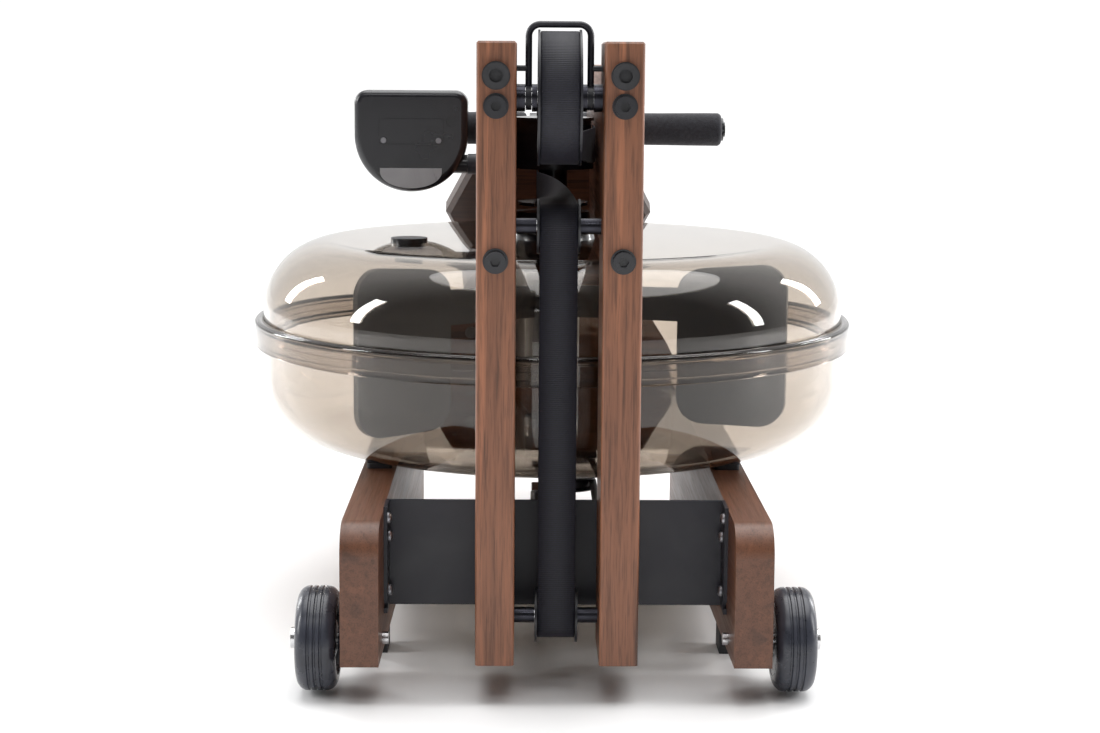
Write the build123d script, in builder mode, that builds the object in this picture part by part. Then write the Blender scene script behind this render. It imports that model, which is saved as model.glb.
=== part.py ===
from build123d import *
import os
from math import asin, atan2, cos, degrees, hypot, radians, sin

# Water-resistance rowing machine. Millimetres, +Z up, tank end towards -Y,
# origin on the floor at the middle of the machine's footprint.

# ---------------------------------------------------------------- overall
machine_length = 2100.0
front = -machine_length / 2
rear = machine_length / 2
running_fit = 0.05
body_gap = 0.4
cut_margin = 1.0
edge_round = 3.0
post_front = front + 8.0
post_depth = 80.0
post_back = post_front + post_depth

# ---------------------------------------------------------------- straps
strap_width = 30.0
strap_thickness = 1.5
groove_width = strap_width + 0.6
rim_thickness = 1.7
pulley_half = groove_width / 2 + rim_thickness
flat_lead = 60.0
edge_run = 45.0
strap_stand_off = 0.6

# ---------------------------------------------------------------- tank
rim_radius = 282.0
tank_y = post_back + 8.0 + rim_radius
flange_radius = rim_radius - 3.0
hull_radius = flange_radius - 5.5
hull_wall = 4.0
tank_bottom = 150.0
tank_seam = 250.0
tank_top = 336.0
lower_shoulder = 60.0
upper_shoulder = 65.0
flange_half = 6.0
rim_half = 12.0
shaft_radius = 8.0
shaft_bottom = 158.0
bearing_height = 26.0
bearing_radius = 40.0
bearing_taper = 12.0
bearing_hole_radius = 22.0
blade_inner = 125.0
blade_outer = hull_radius - 45.5
blade_bottom = 166.0
blade_top = 320.0
blade_thickness = 7.0
blade_corner = 26.0
blade_count = 3
blade_start_angle = -20.0
blade_arm_height = 34.0
blade_arm_drop = 40.0
hub_radius = 26.0
hub_bottom = blade_bottom + 40.0
hub_top = blade_top - 4.0
foot_bearing_height = 10.0
plug_radius = 17.0
plug_stem_radius = 13.0
plug_offset = 142.0
plug_angle = 199.5
plug_height = 4.0
plug_stem_length = 6.0

# ---------------------------------------------------------------- posts and deck
post_inner = pulley_half + 16.5
post_width = 30.5
post_bottom = 32.0
post_top = 518.6
post_edge = 3.0
post_top_edge = 1.5
bolt_x = post_inner + 15.5
bolt_heights = (351.4, 469.6)
bolt_radius = 4.5
bolt_head_radius = 8.0
bolt_head_height = 6.0
bolt_socket_radius = 4.0
bolt_socket_floor = 2.0
washer_radius = 9.8
washer_thickness = 1.6
bolt_grip = 60.0
bumper_height = 492.6
bumper_radius = 10.8
bumper_depth = 8.0
bumper_step = 3.0
bumper_hole_radius = 5.2
deck_inner = post_inner + 6.5
deck_width = 22.0
deck_outer = deck_inner + deck_width
deck_top = 500.0
deck_bottom = tank_top + 10.0
deck_heel = 325.0
bulkhead_front = tank_y + rim_radius + 6.0
bulkhead_depth = 24.0
bulkhead_back = bulkhead_front + bulkhead_depth
deck_end = bulkhead_back + 8.0
notch_front = deck_end - 48.0
notch_floor = 408.0
notch_corner = 8.0
notch_lip = 5.0
deck_chamfer = 24.0
heel_run = 30.0
heel_end = 57.0
block_front = bulkhead_front - 116.0
block_depth = 60.0
block_edge = 5.0
block_top = 418.0

# ---------------------------------------------------------------- pulleys
pulley_y = post_front + 47.0
top_pulley_z = 475.0
top_pulley_radius = 50.0
top_rim_radius = top_pulley_radius + 3.0
top_web_inner = 16.0
top_web_rim = 6.0
top_axle_radius = 6.0
mid_pulley_z = 374.5
bottom_pulley_z = 60.0
small_pulley_radius = 16.0
small_rim_radius = 21.6
small_axle_radius = 5.0
spacer_radius = 10.8
sleeve_radius = 6.25
axle_seat = 10.0
guard_rod_radius = 2.6
guard_half_width = pulley_half + 7.2
guard_top = top_pulley_z + top_rim_radius + 4.0
guard_leg_lift = 8.0
guard_corner = 9.0
guard_eye_radius = 9.5
guard_eye_inset = 0.3
guard_arm_z = top_pulley_z + 23.0
guard_arm_radius = 2.3

# ---------------------------------------------------------------- drum
drum_bottom = 368.0
drum_flange = 3.0
bobbin_height = strap_width + 2.0
drum_step = drum_bottom + drum_flange + bobbin_height
drum_coil_bottom = drum_step + 7.0
drum_coil_height = strap_width + 8.0
drum_coil_top = drum_coil_bottom + drum_coil_height
shaft_overrun = 4.0
drum_coil_radius = 36.0
drum_rim_radius = 38.4
bobbin_rim_radius = 33.0
recoil_ratio = 0.38
bobbin_radius = drum_coil_radius * recoil_ratio
drive_strap_z = drum_coil_bottom + drum_coil_height / 2
recoil_strap_z = drum_bottom + drum_flange + bobbin_height / 2

# ---------------------------------------------------------------- base
board_inner = 139.0
board_width = 30.0
board_top = 145.0
board_front_bottom = 33.0
board_rear_bottom = 8.0
board_corner = 24.0
bulkhead_bottom = 56.0
bulkhead_waist = ((board_inner, 182.0), (100.0, 250.0))
plate_thickness = 3.0
plate_bottom = 59.0
plate_top = 146.7
plate_flange = 30.0
screw_radius = 2.5
screw_head_radius = 4.6
screw_head_height = 3.4
screw_length = 18.0
screw_crown = 2.8
plate_screws = ((post_back - 22.0, 137.0), (post_back - 10.0, 119.0), (post_back - 10.0, 74.0))
plate_holes = ((post_back - 12.0, 97.0), (post_back - 24.0, 66.0))
plate_hole_radius = 4.0
pad_size = (22.0, 40.0)
pad_spacing_y = 140.0
foot_width = 24.0
foot_length = 30.0
front_feet_y = (front + 160.0, bulkhead_front - 56.0)
wheel_y = front + 45.0
wheel_z = 43.5
wheel_radius = 41.5
wheel_inner = 174.0
wheel_width = 32.0
wheel_axle_radius = 5.0
wheel_axle_inner = 134.0
wheel_axle_outer = wheel_inner + wheel_width + 4.0
wheel_cap_radius = 8.5
wheel_cap_proud = 2.0
wheel_spacer_radius = 9.0
wheel_tread_round = 9.0
wheel_dish_depth = 7.0
wheel_dish_inner = 13.0
wheel_tyre = 14.0

# ---------------------------------------------------------------- recoil line under the tank
hook_rest_front = bulkhead_front - 101.0
hook_length = 40.0
hook_half_width = strap_width / 2 + 4.0
hook_half_height = 6.5
hook_slot = 3.2
strap_tail = 14.0
bungee_radius = 4.0
bungee_bend = 25.0
bungee_pulley_y = bulkhead_front - 26.0
bungee_groove_radius = bungee_bend - bungee_radius - body_gap
bungee_rim_radius = 28.0
bungee_axle_radius = 4.0
bungee_cap_radius = 8.0
bungee_cap_height = 2.5
bungee_rim_thickness = 1.5
anchor_size = (16.0, 20.0)
anchor_drop = 8.0
anchor_height = 46.0
bracket_width = 60.0
bracket_reach = 25.0
bracket_corner = 6.0
bracket_thickness = 4.0

# ---------------------------------------------------------------- rails, leg and seat
rail_inner = 72.0
rail_width = 28.0
rail_bottom = 145.0
rail_top = 225.0
track_width = 20.0
track_height = 3.0
leg_front = rear - 120.0
leg_depth = 25.0
leg_half_width = 150.0
leg_bottom = 8.0
leg_shoulder = 42.0
leg_arch_radius = 60.0
leg_clearance = 5.0
leg_foot_inset = 22.0
leg_foot_length = 38.0
rail_bolt_heights = (165.0, 205.0)
rail_bolt_radius = 4.0
rail_bolt_length = 45.0
rail_bolt_head_radius = 7.0
rail_bolt_head_height = 5.0
rail_end_edge = 2.0
seat_y = rear - 490.0
seat_length = 232.0
seat_width = 284.0
cushion_thickness = 44.0
cushion_corner = 60.0
cushion_round = 14.0
carriage_length = 180.0
carriage_half_width = 112.0
carriage_plate = 8.0
roller_radius = 17.0
roller_width = 14.0
roller_axle_radius = 4.0
roller_spacing = 120.0
cheek_thickness = 3.0
stop_length = 16.0
stop_height = 20.0
stop_gap = 2.0
roller_clearance = 9.0
cheek_reach = 8.0
seat_forward_travel = 620.0
seat_rear_travel = 320.0

# ---------------------------------------------------------------- footboard
foot_origin = (0.0, bulkhead_back + 75.0, 342.0)
foot_lean = 40.0
foot_thickness = 20.0
foot_bevel = 5.0
foot_outline = ((-88.0, 70.0), (88.0, 70.0), (117.0, 0.0), (100.0, -48.0),
                (100.0, -130.0), (-100.0, -130.0), (-100.0, -48.0), (-117.0, 0.0))
heel_center_x = 58.0
heel_width = 80.0
heel_bottom = -122.0
heel_length = 150.0
heel_thickness = 8.0
heel_cup = 26.0
heel_corner = 12.0
heel_wall = 5.0
heel_slot = (40.0, 9.0)
heel_slot_drops = (28.0, 54.0)
foot_strap_width = 38.0
foot_strap_y = -10.0
foot_strap_reach = 46.0
foot_strap_rise = 62.0
foot_strap_thickness = 2.0
support_inner = 50.0
support_width = 22.0
support_low = -122.0
support_high = 40.0
support_lift = 5.0
support_top_run = 18.0
support_top_drop = 20.0

# ---------------------------------------------------------------- handle
handle_y = notch_front + 25.0
handle_z = 430.0
handle_half = 190.5
bar_radius = 12.5
grip_radius = 18.0
grip_inner = 25.0
clamp_radius = 17.0
clamp_reach = 21.0
lug_height = 12.0
handle_cap_radius = 8.0
handle_cap_proud = 2.0
grip_gap = 3.0
grip_round = 4.0
rest_pad_height = 3.6
rest_pad_length = 34.0

# ---------------------------------------------------------------- monitor
monitor_width = 121.0
arm_end = 88.0
monitor_x = -arm_end - monitor_width / 2
monitor_top = 471.5
monitor_bottom = 363.5
monitor_side_bottom = monitor_bottom + monitor_width / 2
monitor_back_y = notch_front - 40.0
monitor_front_y = monitor_back_y + 38.0
monitor_split_y = monitor_back_y + 19.0
monitor_wall = 2.5
monitor_corner = 14.0
tilt_y = monitor_back_y + 16.0
tilt_z = 393.0
arm_radius = 11.0
arm_pin_radius = 6.0
arm_pin_gap = 4.0
lens_size = (96.0, 44.0)
lens_z = 440.5
lens_thickness = 2.0
button_radius = 6.5
button_z = 395.5
button_spacing = 24.0
cover_size = (69.0, 27.5)
cover_center = (-148.2, 428.3)
cover_depth = 2.0
cover_gap = 0.6
cover_proud = 0.6
jack_center = (-105.4, 438.9)
jack_radius = 5.5
cover_screws = ((-177.5, 418.5), (-119.0, 418.5))
cover_screw_radius = 3.0
tilt_boss_radius = 10.0
tilt_boss_start = monitor_x + 34.0
board_size = (104.0, 52.0)
board_height = 438.5
board_thickness = 1.6
board_drop = 8.0
cell_heights = (424.5, 439.5)
cell_radius = 6.8
cell_half_length = 26.0
back_round = 7.0
front_round = 4.0
button_round = 0.8
button_proud = 0.6
button_root = 2.0

os.makedirs("parts", exist_ok=True)


def side_slab(points, x_from, width):
    """A board whose outline is given in Y and Z and whose thickness runs along X."""
    with BuildPart() as slab:
        with BuildSketch(Plane.YZ.offset(x_from)):
            with BuildLine():
                Polyline(*points, close=True)
            make_face()
        extrude(amount=width)
    return slab.part


def cross_slab(points, y_from, depth):
    """A board whose outline is given in X and Z and whose thickness runs towards +Y."""
    with BuildPart() as slab:
        with BuildSketch(Plane.XZ.offset(-y_from - depth)):
            with BuildLine():
                Polyline(*points, close=True)
            make_face()
        extrude(amount=depth)
    return slab.part


def rod_x(radius, x_from, x_to, y, z):
    """A plain rod along X."""
    with BuildPart() as rod:
        with BuildSketch(Plane.YZ.offset(x_from)):
            with Locations((y, z)):
                Circle(radius)
        extrude(amount=x_to - x_from)
    return rod.part


def rod_y(radius, y_from, y_to, x, z):
    """A plain rod along Y."""
    with BuildPart() as rod:
        with BuildSketch(Plane.XZ.offset(-y_to)):
            with Locations((x, z)):
                Circle(radius)
        extrude(amount=y_to - y_from)
    return rod.part


def ring_x(outer, inner, x_from, x_to, y, z):
    """A sleeve along X."""
    with BuildPart() as ring:
        with BuildSketch(Plane.YZ.offset(x_from)):
            with Locations((y, z)):
                Circle(outer)
                Circle(inner, mode=Mode.SUBTRACT)
        extrude(amount=x_to - x_from)
    return ring.part


def both_sides(piece):
    """The piece and its mirror image across the machine's middle plane."""
    return [piece, piece.mirror(Plane.YZ)]


def board_underside(y):
    """Height of the base boards' sloping lower edge."""
    share = (y - front) / (bulkhead_back - front)
    return board_front_bottom + share * (board_rear_bottom - board_front_bottom)


# ---------------------------------------------------------------- front posts
axle_places = ((top_pulley_z, top_axle_radius), (mid_pulley_z, small_axle_radius),
               (bottom_pulley_z, small_axle_radius))


def make_post(side):
    with BuildPart() as post:
        with BuildSketch(Plane.XY.offset(post_bottom)):
            with Locations((side * (post_inner + post_width / 2), post_front + post_depth / 2)):
                RectangleRounded(post_width, post_depth, post_edge)
        extrude(amount=post_top - post_bottom)
        chamfer(post.faces().sort_by(Axis.Z)[-1].edges(), post_top_edge)
        for z, radius in axle_places:
            add(rod_x(radius, post_inner, post_inner + axle_seat, pulley_y, z)
                if side > 0 else
                rod_x(radius, -post_inner - axle_seat, -post_inner, pulley_y, z),
                mode=Mode.SUBTRACT)
        for z in bolt_heights:
            add(rod_y(bolt_radius, post_front - cut_margin, post_back + cut_margin, side * bolt_x, z),
                mode=Mode.SUBTRACT)
    return post.part


with BuildPart() as post_left:
    add(make_post(-1))
post_left.part.label = "post_left"
export_step(post_left.part, "parts/post_left.step")

with BuildPart() as post_right:
    add(make_post(1))
post_right.part.label = "post_right"
export_step(post_right.part, "parts/post_right.step")

with BuildPart() as post_bolts:
    for z in bolt_heights:
        for side in (-1, 1):
            with BuildSketch(Plane.XZ.offset(-post_front)):
                with Locations((side * bolt_x, z)):
                    Circle(washer_radius)
            extrude(amount=washer_thickness)
            with BuildSketch(Plane.XZ.offset(-post_front + washer_thickness)):
                with Locations((side * bolt_x, z)):
                    Circle(bolt_head_radius)
                    RegularPolygon(bolt_socket_radius, 6, mode=Mode.SUBTRACT)
            extrude(amount=bolt_head_height)
            with BuildSketch(Plane.XZ.offset(-post_front + washer_thickness)):
                with Locations((side * bolt_x, z)):
                    Circle(bolt_head_radius)
            extrude(amount=bolt_socket_floor)
            add(rod_y(bolt_radius, post_front, post_back + bolt_grip, side * bolt_x, z))
post_bolts.part.label = "post_bolts"
export_step(post_bolts.part, "parts/post_bolts.step")

# ---------------------------------------------------------------- deck
deck_outline = ((post_back, deck_heel), (post_back + heel_run, deck_heel), (post_back + heel_end, deck_bottom),
                (deck_end, deck_bottom), (deck_end, notch_floor), (notch_front, notch_floor),
                (notch_front, deck_top - deck_chamfer), (notch_front - deck_chamfer, deck_top),
                (post_back, deck_top))


def make_deck_board(side):
    with BuildPart() as board:
        add(side_slab(deck_outline, deck_inner if side > 0 else -deck_outer, deck_width))
        middle = side * (deck_inner + deck_width / 2)
        corners = (((middle, notch_front, notch_floor), notch_corner),
                   ((middle, deck_end, notch_floor), notch_lip))
        for place, radius in corners:
            fillet(board.edges().filter_by(Axis.X).sort_by_distance(place)[0], radius)
        for z in bolt_heights:
            add(rod_y(bolt_radius, post_back, post_back + bolt_grip, side * bolt_x, z), mode=Mode.SUBTRACT)
    return board.part


with BuildPart() as deck_board_left:
    add(make_deck_board(-1))
deck_board_left.part.label = "deck_board_left"
export_step(deck_board_left.part, "parts/deck_board_left.step")

with BuildPart() as deck_board_right:
    add(make_deck_board(1))
deck_board_right.part.label = "deck_board_right"
export_step(deck_board_right.part, "parts/deck_board_right.step")

with BuildPart() as deck_block:
    with BuildSketch(Plane.XY.offset(deck_bottom)):
        with Locations((0, block_front + block_depth / 2)):
            Rectangle(2 * deck_inner, block_depth)
    extrude(amount=block_top - deck_bottom)
    fillet(deck_block.faces().sort_by(Axis.Z)[-1].edges().filter_by(Axis.X), block_edge)
deck_block.part.label = "deck_block"
export_step(deck_block.part, "parts/deck_block.step")

# ---------------------------------------------------------------- base boards, bulkhead, cross plate
board_outline = ((front, board_front_bottom), (front, board_top), (bulkhead_back, board_top),
                 (bulkhead_back, board_rear_bottom))


def make_base_board(side):
    with BuildPart() as board:
        start = board_inner if side > 0 else -board_inner - board_width
        add(side_slab(board_outline, start, board_width))
        middle = side * (board_inner + board_width / 2)
        corner = board.edges().filter_by(Axis.X).sort_by_distance((middle, front, board_top))
        fillet(corner[0], board_corner)
        add(rod_x(wheel_axle_radius, start, start + board_width, wheel_y, wheel_z), mode=Mode.SUBTRACT)
        for y, z in plate_screws:
            inner = side * board_inner
            tip = side * (board_inner + screw_length)
            add(rod_x(screw_radius, min(inner, tip), max(inner, tip), y, z), mode=Mode.SUBTRACT)
    return board.part


with BuildPart() as base_board_left:
    add(make_base_board(-1))
base_board_left.part.label = "base_board_left"
export_step(base_board_left.part, "parts/base_board_left.step")

with BuildPart() as base_board_right:
    add(make_base_board(1))
base_board_right.part.label = "base_board_right"
export_step(base_board_right.part, "parts/base_board_right.step")

with BuildPart() as bulkhead:
    right_edge = ((board_inner, bulkhead_bottom), *bulkhead_waist, (deck_outer, deck_bottom))
    left_edge = tuple((-x, z) for x, z in right_edge[::-1])
    add(cross_slab(right_edge + left_edge, bulkhead_front, bulkhead_depth))
    for side in (-1, 1):
        for z in rail_bolt_heights:
            add(rod_y(rail_bolt_radius, bulkhead_front - cut_margin, bulkhead_back + cut_margin,
                      side * (rail_inner + rail_width / 2), z), mode=Mode.SUBTRACT)
bulkhead.part.label = "bulkhead"
export_step(bulkhead.part, "parts/bulkhead.step")

with BuildPart() as cross_plate:
    plate_back = post_back + plate_thickness
    flange_front = plate_back - plate_flange
    plate_reach = board_inner + cut_margin
    with BuildSketch(Plane.XY.offset(plate_bottom)):
        with BuildLine():
            Polyline((-board_inner, flange_front), (-board_inner, plate_back), (board_inner, plate_back),
                     (board_inner, flange_front), (board_inner - plate_thickness, flange_front),
                     (board_inner - plate_thickness, post_back), (-board_inner + plate_thickness, post_back),
                     (-board_inner + plate_thickness, flange_front), close=True)
        make_face()
    extrude(amount=plate_top - plate_bottom)
    for y, z in plate_screws:
        add(rod_x(screw_radius, -plate_reach, plate_reach, y, z), mode=Mode.SUBTRACT)
    for y, z in plate_holes:
        add(rod_x(plate_hole_radius, -plate_reach, plate_reach, y, z), mode=Mode.SUBTRACT)
cross_plate.part.label = "cross_plate"
export_step(cross_plate.part, "parts/cross_plate.step")


def dome_screw(y, z):
    """A round-headed wood screw through the right-hand flange of the cross plate."""
    with BuildPart() as screw:
        inner_face = board_inner - plate_thickness
        add(rod_x(screw_radius, inner_face, board_inner + screw_length, y, z))
        add(rod_x(screw_head_radius, inner_face - screw_head_height, inner_face, y, z))
        crown = screw.faces().sort_by(Axis.X)[0]
        fillet(crown.edges(), screw_crown)
    return screw.part


def rail_bolt(side, z):
    x = side * (rail_inner + rail_width / 2)
    with BuildPart() as bolt:
        add(rod_y(rail_bolt_radius, bulkhead_front, bulkhead_back + rail_bolt_length, x, z))
        add(rod_y(rail_bolt_head_radius, bulkhead_front - rail_bolt_head_height, bulkhead_front, x, z))
    return bolt.part


with BuildPart() as frame_screws:
    for y, z in plate_screws:
        add(both_sides(dome_screw(y, z)))
    for z in rail_bolt_heights:
        add(rail_bolt(-1, z))
        add(rail_bolt(1, z))
frame_screws.part.label = "frame_screws"
export_step(frame_screws.part, "parts/frame_screws.step")

# ---------------------------------------------------------------- rails and rear leg
rail_length = rear - bulkhead_back


def make_rail(side):
    with BuildPart() as rail:
        with BuildSketch(Plane.XZ.offset(-rear)):
            with Locations((side * (rail_inner + rail_width / 2), (rail_bottom + rail_top) / 2)):
                RectangleRounded(rail_width, rail_top - rail_bottom, edge_round)
        extrude(amount=rail_length)
        chamfer(rail.faces().sort_by(Axis.Y)[-1].edges(), rail_end_edge)
        for z in rail_bolt_heights:
            add(rod_y(rail_bolt_radius, bulkhead_back, bulkhead_back + rail_bolt_length,
                      side * (rail_inner + rail_width / 2), z), mode=Mode.SUBTRACT)
    return rail.part


with BuildPart() as rail_left:
    add(make_rail(-1))
rail_left.part.label = "rail_left"
export_step(rail_left.part, "parts/rail_left.step")

with BuildPart() as rail_right:
    add(make_rail(1))
rail_right.part.label = "rail_right"
export_step(rail_right.part, "parts/rail_right.step")

with BuildPart() as rail_tracks:
    with BuildSketch(Plane.XY.offset(rail_top)):
        for side in (-1, 1):
            with Locations((side * (rail_inner + rail_width / 2), (bulkhead_back + rear) / 2)):
                Rectangle(track_width, rail_length - track_width)
    extrude(amount=track_height)
rail_tracks.part.label = "rail_tracks"
export_step(rail_tracks.part, "parts/rail_tracks.step")

with BuildPart() as rear_leg:
    outer = rail_inner + rail_width
    right_side = ((leg_half_width, leg_bottom), (leg_half_width, leg_shoulder), (outer, rail_bottom),
                  (rail_inner, rail_bottom), (rail_inner, rail_top - leg_clearance))
    left_side = tuple((-x, z) for x, z in right_side[::-1])
    add(cross_slab(right_side + left_side, leg_front, leg_depth))
    with BuildSketch(Plane.XZ.offset(-leg_front)):
        with Locations((0, leg_bottom)):
            Circle(leg_arch_radius)
    extrude(amount=-leg_depth, mode=Mode.SUBTRACT)
rear_leg.part.label = "rear_leg"
export_step(rear_leg.part, "parts/rear_leg.step")

# ---------------------------------------------------------------- rubber parts
with BuildPart() as rubber_feet:
    for y in front_feet_y:
        for side in (-1, 1):
            center = side * (board_inner + board_width / 2)
            ends = (y - foot_length / 2, y + foot_length / 2)
            add(side_slab(((ends[0], 0), (ends[1], 0), (ends[1], board_underside(ends[1])),
                           (ends[0], board_underside(ends[0]))), center - foot_width / 2, foot_width))
    with BuildSketch(Plane.XY):
        for side in (-1, 1):
            with Locations((side * (leg_half_width - leg_foot_inset), leg_front + leg_depth / 2)):
                RectangleRounded(leg_foot_length, leg_depth, edge_round)
    extrude(amount=leg_bottom)
    with BuildSketch(Plane.XY.offset(board_top)):
        for side in (-1, 1):
            for y in (tank_y - pad_spacing_y, tank_y + pad_spacing_y):
                with Locations((side * (board_inner + board_width / 2), y)):
                    RectangleRounded(*pad_size, edge_round)
    extrude(amount=tank_bottom - board_top)
rubber_feet.part.label = "rubber_feet"
export_step(rubber_feet.part, "parts/rubber_feet.step")

carriage_top = rail_top + track_height + body_gap + 2 * roller_radius + roller_clearance
stop_y = (seat_y - seat_forward_travel - carriage_length / 2 - stop_length - stop_gap,
          seat_y + seat_rear_travel + carriage_length / 2 + stop_gap)

with BuildPart() as rubber_bumpers:
    for side in (-1, 1):
        with BuildSketch(Plane.XZ.offset(-post_front)):
            with Locations((side * bolt_x, bumper_height)):
                Circle(bumper_radius)
        extrude(amount=bumper_depth - bumper_step)
        with BuildSketch(Plane.XZ.offset(-post_front + bumper_depth - bumper_step)):
            with Locations((side * bolt_x, bumper_height)):
                Circle(bumper_radius - cut_margin)
                Circle(bumper_hole_radius, mode=Mode.SUBTRACT)
        extrude(amount=bumper_step)
    for y in stop_y:
        with BuildSketch(Plane.XY.offset(rail_top + track_height)):
            for side in (-1, 1):
                with Locations((side * (rail_inner + rail_width / 2), y + stop_length / 2)):
                    RectangleRounded(track_width - stop_gap, stop_length, edge_round)
        extrude(amount=stop_height)
rubber_bumpers.part.label = "rubber_bumpers"
export_step(rubber_bumpers.part, "parts/rubber_bumpers.step")

# ---------------------------------------------------------------- pulleys
def make_pulley(z, seat_radius, rim_radius_here, axle_radius):
    with BuildPart() as pulley:
        add(rod_x(seat_radius, -groove_width / 2, groove_width / 2, pulley_y, z))
        for x_from in (-pulley_half, groove_width / 2):
            add(rod_x(rim_radius_here, x_from, x_from + rim_thickness, pulley_y, z))
        add(rod_x(axle_radius + running_fit, -pulley_half - cut_margin, pulley_half + cut_margin, pulley_y, z),
            mode=Mode.SUBTRACT)
    return pulley.part


with BuildPart() as top_pulley:
    add(make_pulley(top_pulley_z, top_pulley_radius, top_rim_radius, top_axle_radius))
    for x_from, x_to in ((-pulley_half - cut_margin, top_web_rim - pulley_half),
                         (pulley_half - top_web_rim, pulley_half + cut_margin)):
        add(ring_x(top_pulley_radius - top_web_rim, top_web_inner, x_from, x_to, pulley_y, top_pulley_z),
            mode=Mode.SUBTRACT)
top_pulley.part.label = "top_pulley"
export_step(top_pulley.part, "parts/top_pulley.step")

with BuildPart() as middle_pulley:
    add(make_pulley(mid_pulley_z, small_pulley_radius, small_rim_radius, small_axle_radius))
middle_pulley.part.label = "middle_pulley"
export_step(middle_pulley.part, "parts/middle_pulley.step")

with BuildPart() as bottom_pulley:
    add(make_pulley(bottom_pulley_z, small_pulley_radius, small_rim_radius, small_axle_radius))
bottom_pulley.part.label = "bottom_pulley"
export_step(bottom_pulley.part, "parts/bottom_pulley.step")

with BuildPart() as axles:
    for z, radius in axle_places:
        add(rod_x(radius, -post_inner - axle_seat, post_inner + axle_seat, pulley_y, z))
    wheel_bolt = rod_x(wheel_axle_radius, wheel_axle_inner, wheel_axle_outer, wheel_y, wheel_z)
    wheel_outer = wheel_inner + wheel_width + body_gap
    wheel_cap = rod_x(wheel_cap_radius, wheel_outer, wheel_axle_outer + wheel_cap_proud, wheel_y, wheel_z)
    add(both_sides(wheel_bolt))
    add(both_sides(wheel_cap))
axles.part.label = "axles"
export_step(axles.part, "parts/axles.step")

rod_from = guard_half_width - guard_rod_radius
rod_to = guard_half_width + guard_rod_radius
eye_from = rod_from + guard_eye_inset
eye_to = rod_to - guard_eye_inset
with BuildPart() as spacers:
    spacer_start = pulley_half + body_gap
    add(both_sides(ring_x(spacer_radius, top_axle_radius, spacer_start, rod_from, pulley_y, top_pulley_z)))
    add(both_sides(ring_x(spacer_radius, top_axle_radius, rod_to, post_inner, pulley_y, top_pulley_z)))
    for z in (mid_pulley_z, bottom_pulley_z):
        add(both_sides(ring_x(sleeve_radius, small_axle_radius, spacer_start, post_inner, pulley_y, z)))
    add(both_sides(ring_x(wheel_spacer_radius, wheel_axle_radius, board_inner + board_width,
                          wheel_inner - body_gap, wheel_y, wheel_z)))
spacers.part.label = "spacers"
export_step(spacers.part, "parts/spacers.step")

with BuildPart() as belt_guard:
    with BuildLine(Plane((0, pulley_y, 0), x_dir=(1, 0, 0), z_dir=(0, -1, 0))) as guard_path:
        guard_foot = top_pulley_z + guard_leg_lift
        FilletPolyline((-guard_half_width, guard_foot), (-guard_half_width, guard_top),
                       (guard_half_width, guard_top), (guard_half_width, guard_foot), radius=guard_corner)
    with BuildSketch(Plane(guard_path.line @ 0, z_dir=guard_path.line % 0)):
        Circle(guard_rod_radius)
    sweep()
    add(both_sides(ring_x(guard_eye_radius, top_axle_radius, eye_from, eye_to, pulley_y, top_pulley_z)))
    add(both_sides(rod_x(guard_arm_radius, guard_half_width, post_inner, pulley_y, guard_arm_z)))
belt_guard.part.label = "belt_guard"
export_step(belt_guard.part, "parts/belt_guard.step")

# ---------------------------------------------------------------- drum, shaft and impeller
with BuildPart() as drum:
    drum_rings = ((bobbin_rim_radius, drum_bottom, drum_bottom + drum_flange),
                  (bobbin_radius, drum_bottom + drum_flange, drum_step),
                  (drum_rim_radius, drum_step, drum_coil_bottom),
                  (drum_coil_radius, drum_coil_bottom, drum_coil_top),
                  (drum_rim_radius, drum_coil_top, drum_coil_top + drum_flange))
    for radius, z_from, z_to in drum_rings:
        with BuildSketch(Plane.XY.offset(z_from)):
            with Locations((0, tank_y)):
                Circle(radius)
        extrude(amount=z_to - z_from)
    with BuildSketch(Plane.XY.offset(drum_bottom)):
        with Locations((0, tank_y)):
            Circle(shaft_radius + running_fit)
    extrude(amount=drum_coil_top + drum_flange - drum_bottom, mode=Mode.SUBTRACT)
drum.part.label = "drum"
export_step(drum.part, "parts/drum.step")

with BuildPart() as impeller_shaft:
    with BuildSketch(Plane.XY.offset(shaft_bottom)):
        with Locations((0, tank_y)):
            Circle(shaft_radius)
    extrude(amount=drum_coil_top + drum_flange + shaft_overrun - shaft_bottom)
impeller_shaft.part.label = "impeller_shaft"
export_step(impeller_shaft.part, "parts/impeller_shaft.step")

with BuildPart() as impeller:
    with BuildSketch(Plane.XY.offset(hub_bottom)):
        with Locations((0, tank_y)):
            Circle(hub_radius)
            Circle(shaft_radius, mode=Mode.SUBTRACT)
    extrude(amount=hub_top - hub_bottom)
    arm_start = hub_radius - blade_thickness / 2
    arm_stop = blade_inner + blade_corner + blade_thickness / 2
    for i in range(blade_count):
        angle = radians(blade_start_angle + i * 360 / blade_count)
        radial = Vector(cos(angle), sin(angle), 0)
        across = Vector(-sin(angle), cos(angle), 0)
        middle = Vector(0, tank_y, 0)
        blade_plane = Plane(middle - across * (blade_thickness / 2), x_dir=radial, z_dir=-across)
        with BuildSketch(blade_plane):
            with Locations(((blade_inner + blade_outer) / 2, (blade_bottom + blade_top) / 2)):
                RectangleRounded(blade_outer - blade_inner, blade_top - blade_bottom, blade_corner)
        extrude(amount=-blade_thickness)
        with BuildSketch(blade_plane):
            with Locations(((arm_start + arm_stop) / 2, blade_top - blade_arm_drop)):
                Rectangle(arm_stop - arm_start, blade_arm_height)
        extrude(amount=-blade_thickness)
impeller.part.label = "impeller"
export_step(impeller.part, "parts/impeller.step")

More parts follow.
